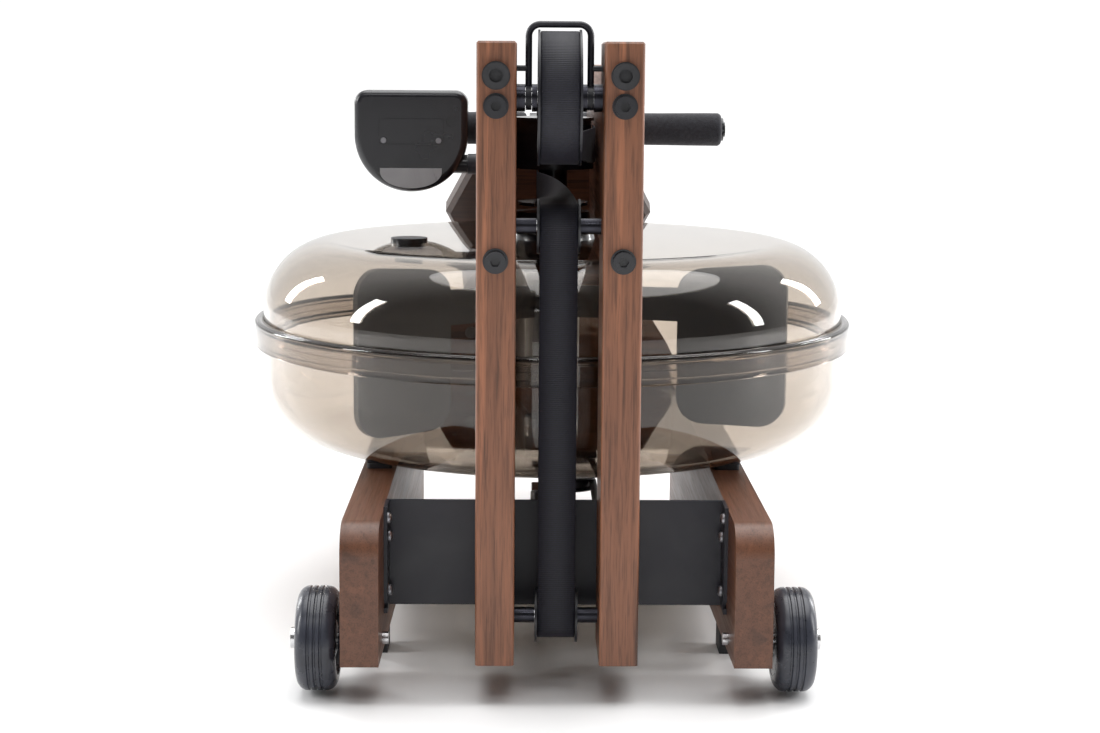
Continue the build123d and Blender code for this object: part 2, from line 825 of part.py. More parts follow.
# ---------------------------------------------------------------- tank
def make_hull(radius, seam, end, shoulder, wall, flange_z):
    """One half of the tank: a dished shell with a flange at the seam."""
    toward = 1 if end > seam else -1
    turn = end - toward * shoulder
    inner_end = end - toward * wall
    inner_shoulder = shoulder - wall
    tilt = sin(radians(45))
    with BuildPart() as hull:
        with BuildSketch(Plane((0, tank_y, 0), x_dir=(1, 0, 0), z_dir=(0, -1, 0))):
            with BuildLine():
                corner_outer = (radius - shoulder * (1 - tilt), turn + toward * shoulder * tilt)
                corner_inner = (radius - wall - inner_shoulder * (1 - tilt),
                                turn + toward * inner_shoulder * tilt)
                Line((0, end), (radius - shoulder, end))
                ThreePointArc((radius - shoulder, end), corner_outer, (radius, turn))
                Polyline((radius, turn), (radius, flange_z), (flange_radius, flange_z), (flange_radius, seam),
                         (radius - wall, seam), (radius - wall, turn))
                ThreePointArc((radius - wall, turn), corner_inner, (radius - shoulder, inner_end))
                Polyline((radius - shoulder, inner_end), (0, inner_end), (0, end))
            make_face()
        revolve(axis=Axis((0, tank_y, 0), (0, 0, 1)))
    return hull.part


with BuildPart() as tank_lower:
    add(make_hull(hull_radius, tank_seam, tank_bottom, lower_shoulder, hull_wall, tank_seam - flange_half))
tank_lower.part.label = "tank_lower"
export_step(tank_lower.part, "parts/tank_lower.step")

plug_place = (plug_offset * cos(radians(plug_angle)), tank_y + plug_offset * sin(radians(plug_angle)))

with BuildPart() as tank_upper:
    add(make_hull(hull_radius, tank_seam, tank_top, upper_shoulder, hull_wall, tank_seam + flange_half))
    with BuildSketch(Plane.XY.offset(tank_top - hull_wall)):
        with Locations((0, tank_y)):
            Circle(bearing_hole_radius)
        with Locations(plug_place):
            Circle(plug_stem_radius)
    extrude(amount=hull_wall, mode=Mode.SUBTRACT)
tank_upper.part.label = "tank_upper"
export_step(tank_upper.part, "parts/tank_upper.step")

with BuildPart() as tank_band:
    with BuildSketch(Plane((0, tank_y, 0), x_dir=(1, 0, 0), z_dir=(0, -1, 0))):
        with BuildLine():
            Polyline((hull_radius, tank_seam - rim_half), (rim_radius, tank_seam - rim_half),
                     (rim_radius, tank_seam + rim_half), (hull_radius, tank_seam + rim_half),
                     (hull_radius, tank_seam + flange_half), (flange_radius, tank_seam + flange_half),
                     (flange_radius, tank_seam - flange_half), (hull_radius, tank_seam - flange_half),
                     close=True)
        make_face()
    revolve(axis=Axis((0, tank_y, 0), (0, 0, 1)))
tank_band.part.label = "tank_band"
export_step(tank_band.part, "parts/tank_band.step")

with BuildPart() as tank_fittings:
    with BuildSketch(Plane.XY.offset(tank_top)):
        with Locations((0, tank_y)):
            Circle(bearing_radius)
            Circle(shaft_radius + running_fit, mode=Mode.SUBTRACT)
    extrude(amount=bearing_height, taper=bearing_taper)
    with BuildSketch(Plane.XY.offset(tank_bottom + hull_wall)):
        with Locations((0, tank_y)):
            Circle(hub_radius)
    extrude(amount=foot_bearing_height)
    with BuildSketch(Plane.XY.offset(shaft_bottom - running_fit)):
        with Locations((0, tank_y)):
            Circle(shaft_radius + running_fit)
    extrude(amount=foot_bearing_height, mode=Mode.SUBTRACT)
    with BuildSketch(Plane.XY.offset(tank_top)):
        with Locations(plug_place):
            Circle(plug_radius)
    extrude(amount=plug_height)
    with BuildSketch(Plane.XY.offset(tank_top - hull_wall - plug_stem_length)):
        with Locations(plug_place):
            Circle(plug_stem_radius)
    extrude(amount=hull_wall + plug_stem_length)
tank_fittings.part.label = "tank_fittings"
export_step(tank_fittings.part, "parts/tank_fittings.step")

# ---------------------------------------------------------------- wheels
def make_wheel(side):
    start = wheel_inner if side > 0 else -wheel_inner - wheel_width
    with BuildPart() as wheel:
        add(rod_x(wheel_radius, start, start + wheel_width, wheel_y, wheel_z))
        fillet(wheel.edges().filter_by(GeomType.CIRCLE), wheel_tread_round)
        end = start + wheel_width
        dish_outer = wheel_radius - wheel_tyre
        for x_from, x_to in ((start - cut_margin, start + wheel_dish_depth),
                             (end - wheel_dish_depth, end + cut_margin)):
            add(ring_x(dish_outer, wheel_dish_inner, x_from, x_to, wheel_y, wheel_z), mode=Mode.SUBTRACT)
        add(rod_x(wheel_axle_radius + running_fit, start - cut_margin, end + cut_margin, wheel_y, wheel_z),
            mode=Mode.SUBTRACT)
    return wheel.part


with BuildPart() as wheel_left:
    add(make_wheel(-1))
wheel_left.part.label = "wheel_left"
export_step(wheel_left.part, "parts/wheel_left.step")

with BuildPart() as wheel_right:
    add(make_wheel(1))
wheel_right.part.label = "wheel_right"
export_step(wheel_right.part, "parts/wheel_right.step")

# ---------------------------------------------------------------- drive strap
def strap_section(x, y, z, roll):
    """A strap's cross-section facing along Y, rolled from flat (0) to on edge (90)."""
    width_dir = (cos(radians(roll)), 0, sin(radians(roll)))
    with BuildSketch(Plane((x, y, z), x_dir=width_dir, z_dir=(0, 1, 0))) as cut:
        Rectangle(strap_width, strap_thickness)
    return cut.sketch


def twisted_run(start, end, steps=4):
    """A strap run that turns from flat at start to on edge at end, then runs on straight."""
    with BuildPart() as run:
        for i in range(steps + 1):
            share = i / steps
            place = [a + (b - a) * share for a, b in zip(start, end)]
            add(strap_section(*place, 90 * share))
        loft(ruled=True)
        on_edge = Plane((end[0], end[1], end[2]), x_dir=(0, 0, 1), z_dir=(0, 1, 0))
        with BuildSketch(on_edge):
            Rectangle(strap_width, strap_thickness)
        extrude(amount=edge_run)
    return run.part


def strap_along(path):
    """A flat strap swept along a path in the machine's middle plane."""
    with BuildPart() as strap:
        with BuildSketch(Plane(path @ 0, x_dir=(1, 0, 0), z_dir=path % 0)):
            Rectangle(strap_width, strap_thickness)
        sweep(path=path)
    return strap.part


drive_radius = top_pulley_radius + body_gap + strap_thickness / 2
strap_end_y = handle_y - clamp_reach - cut_margin
reach_y = strap_end_y - pulley_y
reach_z = handle_z - top_pulley_z
run_slope = degrees(atan2(reach_z, reach_y)) - degrees(asin(drive_radius / hypot(reach_y, reach_z)))
leave_angle = 90 + run_slope
drive_z = top_pulley_z - drive_radius
drum_strap_x = drum_coil_radius + strap_stand_off + strap_thickness / 2

with BuildPart() as drive_strap:
    with BuildLine(Plane.YZ) as drive_path:
        lead = Line((pulley_y + flat_lead, drive_z), (pulley_y, drive_z))
        wrap = CenterArc((pulley_y, top_pulley_z), drive_radius, 270, leave_angle - 270)
        Line(wrap @ 1, (strap_end_y, handle_z))
    add(strap_along(drive_path.line))
    add(twisted_run((0, pulley_y + flat_lead, drive_z), (drum_strap_x, tank_y - edge_run, drive_strap_z)))
drive_strap.part.label = "drive_strap"
export_step(drive_strap.part, "parts/drive_strap.step")

# ---------------------------------------------------------------- recoil strap, hook and bungee
recoil_radius = small_pulley_radius + body_gap + strap_thickness / 2
recoil_z = bottom_pulley_z - recoil_radius
recoil_top = mid_pulley_z + recoil_radius
bobbin_strap_x = -(bobbin_radius + strap_stand_off + strap_thickness / 2)
hook_back = hook_rest_front + hook_length

with BuildPart() as recoil_strap:
    with BuildLine(Plane.YZ) as recoil_path:
        lead = Line((pulley_y + flat_lead, recoil_top), (pulley_y, recoil_top))
        over = CenterArc((pulley_y, mid_pulley_z), recoil_radius, 90, 90)
        down = Line(over @ 1, (pulley_y - recoil_radius, bottom_pulley_z))
        under = CenterArc((pulley_y, bottom_pulley_z), recoil_radius, 180, 90)
        Line(under @ 1, (hook_back - strap_tail, recoil_z))
    add(strap_along(recoil_path.line))
    add(twisted_run((0, pulley_y + flat_lead, recoil_top), (bobbin_strap_x, tank_y - edge_run, recoil_strap_z)))
recoil_strap.part.label = "recoil_strap"
export_step(recoil_strap.part, "parts/recoil_strap.step")

with BuildPart() as recoil_hook:
    with BuildSketch(Plane.XZ.offset(-hook_back)):
        with Locations((0, recoil_z)):
            RectangleRounded(2 * hook_half_width, 2 * hook_half_height, edge_round)
            Rectangle(strap_width + hook_slot - strap_thickness, hook_slot, mode=Mode.SUBTRACT)
    extrude(amount=hook_length)
recoil_hook.part.label = "recoil_hook"
export_step(recoil_hook.part, "parts/recoil_hook.step")

anchor_back = plate_back + anchor_size[1]
with BuildPart() as bungee_cord:
    with BuildLine(Plane.XY.offset(recoil_z)) as bungee_path:
        first = Line((0, hook_back + body_gap), (0, bungee_pulley_y))
        turn_back = CenterArc((bungee_bend, bungee_pulley_y), bungee_bend, 180, -180)
        Line(turn_back @ 1, (2 * bungee_bend, anchor_back))
    with BuildSketch(Plane(bungee_path.line @ 0, z_dir=bungee_path.line % 0)):
        Circle(bungee_radius)
    sweep(path=bungee_path.line)
bungee_cord.part.label = "bungee_cord"
export_step(bungee_cord.part, "parts/bungee_cord.step")

groove_half = bungee_radius + cut_margin
with BuildPart() as bungee_pulley:
    pulley_layers = ((bungee_rim_radius, -groove_half - bungee_rim_thickness, -groove_half),
                     (bungee_groove_radius, -groove_half, groove_half),
                     (bungee_rim_radius, groove_half, groove_half + bungee_rim_thickness))
    for radius, low, high in pulley_layers:
        with BuildSketch(Plane.XY.offset(recoil_z + low)):
            with Locations((bungee_bend, bungee_pulley_y)):
                Circle(radius)
                Circle(bungee_axle_radius + running_fit, mode=Mode.SUBTRACT)
        extrude(amount=high - low)
bungee_pulley.part.label = "bungee_pulley"
export_step(bungee_pulley.part, "parts/bungee_pulley.step")

with BuildPart() as bungee_fittings:
    bracket_bottom = bulkhead_bottom - bracket_thickness
    pulley_low = recoil_z - groove_half - bungee_rim_thickness
    bracket_front = bungee_pulley_y - bracket_reach
    with BuildSketch(Plane.XY.offset(bracket_bottom)):
        with Locations((bungee_bend, (bracket_front + bulkhead_back) / 2)):
            RectangleRounded(bracket_width, bulkhead_back - bracket_front, bracket_corner)
    extrude(amount=bracket_thickness)
    with BuildSketch(Plane.XY.offset(pulley_low - body_gap)):
        with Locations((bungee_bend, bungee_pulley_y)):
            Circle(bungee_axle_radius)
    extrude(amount=bracket_bottom - pulley_low + body_gap)
    with BuildSketch(Plane.XY.offset(pulley_low - body_gap - bungee_cap_height)):
        with Locations((bungee_bend, bungee_pulley_y)):
            Circle(bungee_cap_radius)
    extrude(amount=bungee_cap_height)
    with BuildSketch(Plane.XY.offset(recoil_z - anchor_drop)):
        with Locations((2 * bungee_bend, (plate_back + anchor_back) / 2)):
            Rectangle(*anchor_size)
    extrude(amount=anchor_height)
bungee_fittings.part.label = "bungee_fittings"
export_step(bungee_fittings.part, "parts/bungee_fittings.step")

# ---------------------------------------------------------------- footboard
foot_normal = (0, cos(radians(foot_lean)), sin(radians(foot_lean)))
foot_plane = Plane(foot_origin, x_dir=(-1, 0, 0), z_dir=foot_normal)

with BuildPart() as footboard:
    with BuildSketch(foot_plane):
        with BuildLine():
            Polyline(*foot_outline, close=True)
        make_face()
    extrude(amount=-foot_thickness)
    under_face = footboard.faces().sort_by(Axis(foot_origin, foot_normal))[0]
    chamfer(under_face.edges(), foot_bevel)
footboard.part.label = "footboard"
export_step(footboard.part, "parts/footboard.step")


def under_foot(along):
    """Y and Z of a point on the footboard's under face, measured up its slope."""
    point = foot_plane.from_local_coords((0, along, -foot_thickness))
    return (point.Y, point.Z)


with BuildPart() as footboard_supports:
    low_end = under_foot(support_low)
    high_end = under_foot(support_high)
    support_bottom = rail_bottom + support_lift
    outline = ((bulkhead_back, support_bottom), (low_end[0], support_bottom), low_end, high_end,
               (high_end[0] - support_top_run, high_end[1]), (bulkhead_back, deck_bottom - support_top_drop))
    add(both_sides(side_slab(outline, support_inner, support_width)))
footboard_supports.part.label = "footboard_supports"
export_step(footboard_supports.part, "parts/footboard_supports.step")


def make_heel(side):
    lift = Plane(foot_plane.from_local_coords((0, 0, body_gap)), x_dir=(-1, 0, 0), z_dir=foot_normal)
    center = -side * heel_center_x
    with BuildPart() as heel:
        with BuildSketch(lift):
            with Locations((center, heel_bottom + heel_length / 2)):
                RectangleRounded(heel_width, heel_length, heel_corner)
            for drop in heel_slot_drops:
                with Locations((center, heel_bottom + heel_length - drop)):
                    SlotOverall(*heel_slot, mode=Mode.SUBTRACT)
        extrude(amount=heel_thickness)
        with BuildSketch(lift):
            with Locations((center, heel_bottom + heel_width / 2)):
                Circle(heel_width / 2)
                Circle(heel_width / 2 - heel_wall, mode=Mode.SUBTRACT)
            with Locations((center, heel_bottom + heel_width)):
                Rectangle(2 * heel_width, heel_width + 4 * heel_wall, mode=Mode.SUBTRACT)
        extrude(amount=heel_cup)
    return heel.part


with BuildPart() as heel_rest_left:
    add(make_heel(-1))
heel_rest_left.part.label = "heel_rest_left"
export_step(heel_rest_left.part, "parts/heel_rest_left.step")

with BuildPart() as heel_rest_right:
    add(make_heel(1))
heel_rest_right.part.label = "heel_rest_right"
export_step(heel_rest_right.part, "parts/heel_rest_right.step")

with BuildPart() as foot_straps:
    low_edge = foot_plane.from_local_coords((0, foot_strap_y - foot_strap_width / 2, 0))
    strap_plane = Plane(low_edge, x_dir=(1, 0, 0), z_dir=(foot_plane.y_dir))
    for side in (-1, 1):
        with BuildSketch(strap_plane):
            with Locations((side * heel_center_x, 0)):
                Ellipse(foot_strap_reach, foot_strap_rise)
                Ellipse(foot_strap_reach - foot_strap_thickness, foot_strap_rise - foot_strap_thickness,
                        mode=Mode.SUBTRACT)
            with Locations((side * heel_center_x, -foot_strap_rise)):
                Rectangle(2 * foot_strap_rise, 2 * foot_strap_rise, mode=Mode.SUBTRACT)
        extrude(amount=foot_strap_width)
foot_straps.part.label = "foot_straps"
export_step(foot_straps.part, "parts/foot_straps.step")

# ---------------------------------------------------------------- seat
axle_z = rail_top + track_height + body_gap + roller_radius
plate_low = carriage_top - carriage_plate
rail_middle = rail_inner + rail_width / 2
cheek_inner = rail_middle - roller_width / 2 - cheek_thickness - cut_margin
cheek_outer = rail_middle + roller_width / 2 + cut_margin
roller_ys = (seat_y - roller_spacing / 2, seat_y + roller_spacing / 2)

with BuildPart() as seat_carriage:
    with BuildSketch(Plane.XY.offset(plate_low)):
        with Locations((0, seat_y)):
            RectangleRounded(2 * carriage_half_width, carriage_length, carriage_plate)
    extrude(amount=carriage_plate)
    for start in (cheek_inner, cheek_outer):
        for cheek_start in (start, -start - cheek_thickness):
            with BuildSketch(Plane.YZ.offset(cheek_start)):
                with Locations((seat_y, (axle_z - cheek_reach + plate_low) / 2)):
                    Rectangle(carriage_length - 3 * cheek_reach, plate_low - axle_z + cheek_reach)
            extrude(amount=cheek_thickness)
    for y in roller_ys:
        add(rod_x(roller_axle_radius + running_fit, -carriage_half_width, carriage_half_width, y, axle_z),
            mode=Mode.SUBTRACT)
seat_carriage.part.label = "seat_carriage"
export_step(seat_carriage.part, "parts/seat_carriage.step")

with BuildPart() as seat_cushion:
    with BuildSketch(Plane.XY.offset(carriage_top)):
        with Locations((0, seat_y)):
            RectangleRounded(seat_width, seat_length, cushion_corner)
    extrude(amount=cushion_thickness)
    fillet(seat_cushion.faces().sort_by(Axis.Z)[-1].edges(), cushion_round)
seat_cushion.part.label = "seat_cushion"
export_step(seat_cushion.part, "parts/seat_cushion.step")


def make_roller_set(y):
    """An axle with a roller pressed on near each end."""
    roller_x = rail_inner + rail_width / 2 - roller_width / 2
    with BuildPart() as rollers:
        add(rod_x(roller_axle_radius, -cheek_outer - cheek_thickness, cheek_outer + cheek_thickness, y, axle_z))
        for start in (roller_x, -roller_x - roller_width):
            add(ring_x(roller_radius, roller_axle_radius, start, start + roller_width, y, axle_z))
    return rollers.part


with BuildPart() as seat_rollers_front:
    add(make_roller_set(roller_ys[0]))
seat_rollers_front.part.label = "seat_rollers_front"
export_step(seat_rollers_front.part, "parts/seat_rollers_front.step")

with BuildPart() as seat_rollers_rear:
    add(make_roller_set(roller_ys[1]))
seat_rollers_rear.part.label = "seat_rollers_rear"
export_step(seat_rollers_rear.part, "parts/seat_rollers_rear.step")

# ---------------------------------------------------------------- handle
with BuildPart() as handle_bar:
    add(rod_x(bar_radius, -handle_half, handle_half, handle_y, handle_z))
    cap_end = handle_half + handle_cap_proud
    clamp_half = grip_inner - grip_gap
    add(rod_x(handle_cap_radius, -cap_end, cap_end, handle_y, handle_z))
    add(rod_x(clamp_radius, -clamp_half, clamp_half, handle_y, handle_z))
    with BuildSketch(Plane.XZ.offset(-handle_y)):
        with Locations((0, handle_z)):
            RectangleRounded(strap_width + lug_height / 3, lug_height, edge_round)
    extrude(amount=clamp_reach)
handle_bar.part.label = "handle_bar"
export_step(handle_bar.part, "parts/handle_bar.step")

with BuildPart() as handle_grips:
    grip_end = handle_half - handle_cap_proud
    add(both_sides(ring_x(grip_radius, bar_radius, grip_inner, grip_end, handle_y, handle_z)))
    outer_rims = handle_grips.edges().filter_by(GeomType.CIRCLE).group_by(SortBy.RADIUS)[-1]
    fillet(outer_rims, grip_round)
handle_grips.part.label = "handle_grips"
export_step(handle_grips.part, "parts/handle_grips.step")

with BuildPart() as handle_rests:
    with BuildSketch(Plane.XY.offset(notch_floor)):
        for side in (-1, 1):
            with Locations((side * (deck_inner + deck_width / 2), handle_y)):
                RectangleRounded(deck_width - 4, rest_pad_length, edge_round)
    extrude(amount=rest_pad_height)
handle_rests.part.label = "handle_rests"
export_step(handle_rests.part, "parts/handle_rests.step")

# ---------------------------------------------------------------- monitor
half_case = monitor_width / 2


def case_block(y_from, y_to, inset):
    """A slab with the monitor's outline, shrunk all round by an inset."""
    half = half_case - inset
    top = monitor_top - inset
    low = monitor_bottom + inset
    with BuildPart() as block:
        with BuildSketch(Plane.XZ.offset(-y_to)):
            with BuildLine():
                FilletPolyline((monitor_x - half, monitor_side_bottom), (monitor_x - half, top),
                               (monitor_x + half, top), (monitor_x + half, monitor_side_bottom),
                               radius=monitor_corner - inset)
                ThreePointArc((monitor_x + half, monitor_side_bottom), (monitor_x, low),
                              (monitor_x - half, monitor_side_bottom))
            make_face()
        extrude(amount=y_to - y_from)
    return block.part


button_xs = (monitor_x - button_spacing, monitor_x, monitor_x + button_spacing)

with BuildPart() as monitor_back:
    add(case_block(monitor_back_y, monitor_split_y, 0))
    fillet(monitor_back.faces().sort_by(Axis.Y)[0].edges(), back_round)
    hollow_back = monitor_back_y + monitor_wall + cover_depth
    add(case_block(hollow_back, monitor_split_y, monitor_wall), mode=Mode.SUBTRACT)
    with BuildSketch(Plane.XZ.offset(-monitor_back_y)):
        with Locations(cover_center):
            RectangleRounded(*cover_size, edge_round)
    extrude(amount=-cover_depth, mode=Mode.SUBTRACT)
    with BuildSketch(Plane.XZ.offset(-monitor_back_y)):
        with Locations(jack_center):
            Circle(jack_radius)
    extrude(amount=-cover_depth, mode=Mode.SUBTRACT)
    add(rod_x(tilt_boss_radius, tilt_boss_start, -arm_end - body_gap, tilt_y, tilt_z))
    add(rod_x(arm_pin_radius, tilt_boss_start, -deck_outer - arm_pin_gap, tilt_y, tilt_z))
monitor_back.part.label = "monitor_back"
export_step(monitor_back.part, "parts/monitor_back.step")

with BuildPart() as monitor_front:
    add(case_block(monitor_split_y, monitor_front_y, 0))
    fillet(monitor_front.faces().sort_by(Axis.Y)[-1].edges(), front_round)
    add(case_block(monitor_split_y, monitor_front_y - monitor_wall, monitor_wall), mode=Mode.SUBTRACT)
    with BuildSketch(Plane.XZ.offset(-monitor_front_y)):
        with Locations((monitor_x, lens_z)):
            RectangleRounded(*lens_size, edge_round)
        for x in button_xs:
            with Locations((x, button_z)):
                Circle(button_radius + body_gap)
    extrude(amount=monitor_wall, mode=Mode.SUBTRACT)
    add(rod_x(tilt_boss_radius + body_gap, tilt_boss_start, -arm_end + arm_pin_gap, tilt_y, tilt_z),
        mode=Mode.SUBTRACT)
monitor_front.part.label = "monitor_front"
export_step(monitor_front.part, "parts/monitor_front.step")

with BuildPart() as monitor_lens:
    with BuildSketch(Plane.XZ.offset(-monitor_front_y)):
        with Locations((monitor_x, lens_z)):
            RectangleRounded(*lens_size, edge_round)
    extrude(amount=lens_thickness)
monitor_lens.part.label = "monitor_lens"
export_step(monitor_lens.part, "parts/monitor_lens.step")

cell_y = monitor_split_y - 6.0

with BuildPart() as monitor_electronics:
    with BuildSketch(Plane.XZ.offset(-monitor_front_y + board_drop)):
        with Locations((monitor_x, board_height)):
            Rectangle(*board_size)
    extrude(amount=board_thickness)
    for z in cell_heights:
        add(rod_x(cell_radius, monitor_x - cell_half_length, monitor_x + cell_half_length, cell_y, z))
monitor_electronics.part.label = "monitor_electronics"
export_step(monitor_electronics.part, "parts/monitor_electronics.step")

with BuildPart() as battery_cover:
    with BuildSketch(Plane.XZ.offset(-monitor_back_y - cover_depth)):
        with Locations(cover_center):
            RectangleRounded(cover_size[0] - cover_gap, cover_size[1] - cover_gap, edge_round)
    extrude(amount=cover_depth + cover_proud)
battery_cover.part.label = "battery_cover"
export_step(battery_cover.part, "parts/battery_cover.step")

with BuildPart() as monitor_screws:
    for x, z in cover_screws:
        add(rod_y(cover_screw_radius, monitor_back_y - cover_depth, monitor_back_y - cover_proud, x, z))
monitor_screws.part.label = "monitor_screws"
export_step(monitor_screws.part, "parts/monitor_screws.step")

with BuildPart() as monitor_arm:
    add(ring_x(arm_radius, arm_pin_radius + running_fit, -arm_end, -deck_outer, tilt_y, tilt_z))
monitor_arm.part.label = "monitor_arm"
export_step(monitor_arm.part, "parts/monitor_arm.step")


def make_button(x):
    with BuildPart() as button:
        with BuildSketch(Plane.XZ.offset(-monitor_front_y - button_root)):
            with Locations((x, button_z)):
                Circle(button_radius)
        extrude(amount=button_root + monitor_wall + button_proud)
        fillet(button.faces().sort_by(Axis.Y)[-1].edges(), button_round)
    return button.part


with BuildPart() as button_left:
    add(make_button(button_xs[0]))
button_left.part.label = "button_left"
export_step(button_left.part, "parts/button_left.step")

with BuildPart() as button_middle:
    add(make_button(button_xs[1]))
button_middle.part.label = "button_middle"
export_step(button_middle.part, "parts/button_middle.step")

with BuildPart() as button_right:
    add(make_button(button_xs[2]))
button_right.part.label = "button_right"
export_step(button_right.part, "parts/button_right.step")
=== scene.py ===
from math import asin, atan2, cos, exp, hypot, pi, radians, sin

import bmesh
import bpy
from mathutils import Matrix, Vector


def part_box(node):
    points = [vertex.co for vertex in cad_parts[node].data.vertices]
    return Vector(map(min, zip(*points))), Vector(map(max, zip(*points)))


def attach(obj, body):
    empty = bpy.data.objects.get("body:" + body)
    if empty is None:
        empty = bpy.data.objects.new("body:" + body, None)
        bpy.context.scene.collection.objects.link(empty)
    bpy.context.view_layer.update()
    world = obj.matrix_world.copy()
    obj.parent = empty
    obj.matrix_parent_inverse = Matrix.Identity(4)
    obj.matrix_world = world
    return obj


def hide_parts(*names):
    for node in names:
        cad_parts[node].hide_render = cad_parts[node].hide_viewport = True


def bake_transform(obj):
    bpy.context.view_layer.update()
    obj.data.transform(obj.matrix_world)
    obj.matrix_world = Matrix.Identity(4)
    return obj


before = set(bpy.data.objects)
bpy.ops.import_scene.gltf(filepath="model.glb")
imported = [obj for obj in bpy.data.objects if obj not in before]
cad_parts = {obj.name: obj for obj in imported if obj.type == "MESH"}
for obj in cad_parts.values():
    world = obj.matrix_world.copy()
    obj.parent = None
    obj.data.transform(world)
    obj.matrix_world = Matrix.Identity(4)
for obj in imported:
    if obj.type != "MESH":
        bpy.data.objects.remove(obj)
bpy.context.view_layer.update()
MM = 0.001


# ---------------------------------------------------------------- places read from the frame
def low(node):
    return Vector(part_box(node)[0])


def high(node):
    return Vector(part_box(node)[1])


def center(node):
    return (low(node) + high(node)) / 2


# ---------------------------------------------------------------- material helpers
def new_material(name, color, roughness=0.5, metallic=0.0, **sockets):
    """A Principled material; other sockets are given by name, with _ for a space."""
    material = bpy.data.materials.new(name)
    material.use_nodes = True
    shader = material.node_tree.nodes["Principled BSDF"]
    shader.inputs["Base Color"].default_value = (*color, 1)
    shader.inputs["Roughness"].default_value = roughness
    shader.inputs["Metallic"].default_value = metallic
    for socket, value in sockets.items():
        shader.inputs[socket.replace("_", " ")].default_value = value
    return material


def node(material, kind, **values):
    """A shader node with its inputs or its own settings given by name."""
    made = material.node_tree.nodes.new(kind)
    for key, value in values.items():
        if key in made.inputs:
            made.inputs[key].default_value = value
        else:
            setattr(made, key, value)
    return made


def link(material, source, target):
    material.node_tree.links.new(source, target)


def place(material, scale, use="Object", turn=(0, 0, 0)):
    """Texture coordinates stretched by a scale for each axis."""
    coordinates = node(material, "ShaderNodeTexCoord")
    mapping = node(material, "ShaderNodeMapping")
    mapping.inputs["Scale"].default_value = scale
    mapping.inputs["Rotation"].default_value = turn
    link(material, coordinates.outputs[use], mapping.inputs["Vector"])
    return mapping.outputs["Vector"]


def noise(material, vector, scale, detail=4.0, roughness=0.55, distortion=0.0):
    made = node(material, "ShaderNodeTexNoise", Scale=scale, Detail=detail, Roughness=roughness,
                Distortion=distortion)
    link(material, vector, made.inputs["Vector"])
    return made.outputs["Fac"]


def ramp(material, value, stops):
    """Colors from a value, through stops of (position, color)."""
    made = node(material, "ShaderNodeValToRGB")
    elements = made.color_ramp.elements
    while len(elements) < len(stops):
        elements.new(0.5)
    for element, (position, color) in zip(elements, stops):
        element.position = position
        element.color = (*color, 1)
    link(material, value, made.inputs["Fac"])
    return made.outputs["Color"]


def grey(value):
    return (value, value, value)


def bump(material, height, strength, distance, normal=None):
    made = node(material, "ShaderNodeBump", Strength=strength, Distance=distance)
    link(material, height, made.inputs["Height"])
    if normal:
        link(material, normal, made.inputs["Normal"])
    return made.outputs["Normal"]


def mix_color(material, factor, first, second, blend="MIX"):
    made = node(material, "ShaderNodeMix", data_type="RGBA", blend_type=blend)
    if isinstance(factor, float):
        made.inputs[0].default_value = factor
    else:
        link(material, factor, made.inputs[0])
    link(material, first, made.inputs[6])
    link(material, second, made.inputs[7])
    return made.outputs[2]


def set_look(material, color=None, roughness=None, normal=None):
    """Link what is given to the material's shader."""
    shader = material.node_tree.nodes["Principled BSDF"]
    for socket, source in (("Base Color", color), ("Roughness", roughness), ("Normal", normal)):
        if source:
            link(material, source, shader.inputs[socket])


# ---------------------------------------------------------------- materials
def walnut(name, along, seed, tone=1.0, contrast=1.0):
    """Oiled walnut: growth bands, long streaks and open pores, all drawn out along the board.

    Each board's seed moves its grain, tone scales its color and contrast its bands."""
    material = new_material(name, (0.2, 0.09, 0.055), 0.42, Coat_Weight=0.08, Coat_Roughness=0.3)
    squeeze = [1.0, 1.0, 1.0]
    squeeze["XYZ".index(along)] = 0.035
    bands_place = place(material, squeeze)
    shifted = node(material, "ShaderNodeVectorMath", operation="ADD")
    link(material, bands_place, shifted.inputs[0])
    shifted.inputs[1].default_value = (seed * 1.7, seed * 0.9, seed * 2.3)
    spot = shifted.outputs[0]
    bands = noise(material, spot, 62.0, 3.0, 0.55, 0.5)
    streaks = noise(material, spot, 260.0, 5.0, 0.7, 0.2)
    pores = noise(material, spot, 900.0, 2.0, 0.5)
    clouds = noise(material, place(material, (1, 1, 1)), 5.0, 2.0)
    middle = tuple(c * tone for c in (0.205, 0.078, 0.037))
    dark = tuple(c * (1 - 0.62 * contrast) for c in middle)
    light = tuple(c * (1 + 0.62 * contrast) for c in middle)
    base = ramp(material, bands, [(0.34, dark), (0.45, middle), (0.57, middle), (0.70, light)])
    fine = ramp(material, streaks, [(0.36, grey(1 - 0.45 * contrast)), (0.50, grey(1.0)),
                                    (0.72, grey(1 + 0.2 * contrast))])
    pits = ramp(material, pores, [(0.36, grey(0.45)), (0.44, grey(1.0))])
    drift = ramp(material, clouds, [(0.3, grey(0.88)), (0.7, grey(1.12))])
    color = mix_color(material, 1.0, base, fine, "MULTIPLY")
    color = mix_color(material, 0.55, color, pits, "MULTIPLY")
    color = mix_color(material, 1.0, color, drift, "MULTIPLY")
    rough = ramp(material, streaks, [(0.3, grey(0.52)), (0.7, grey(0.36))])
    normal = bump(material, pits, 0.22, 0.0003)
    normal = bump(material, streaks, 0.10, 0.0004, normal)
    set_look(material, color, rough, normal)
    return material


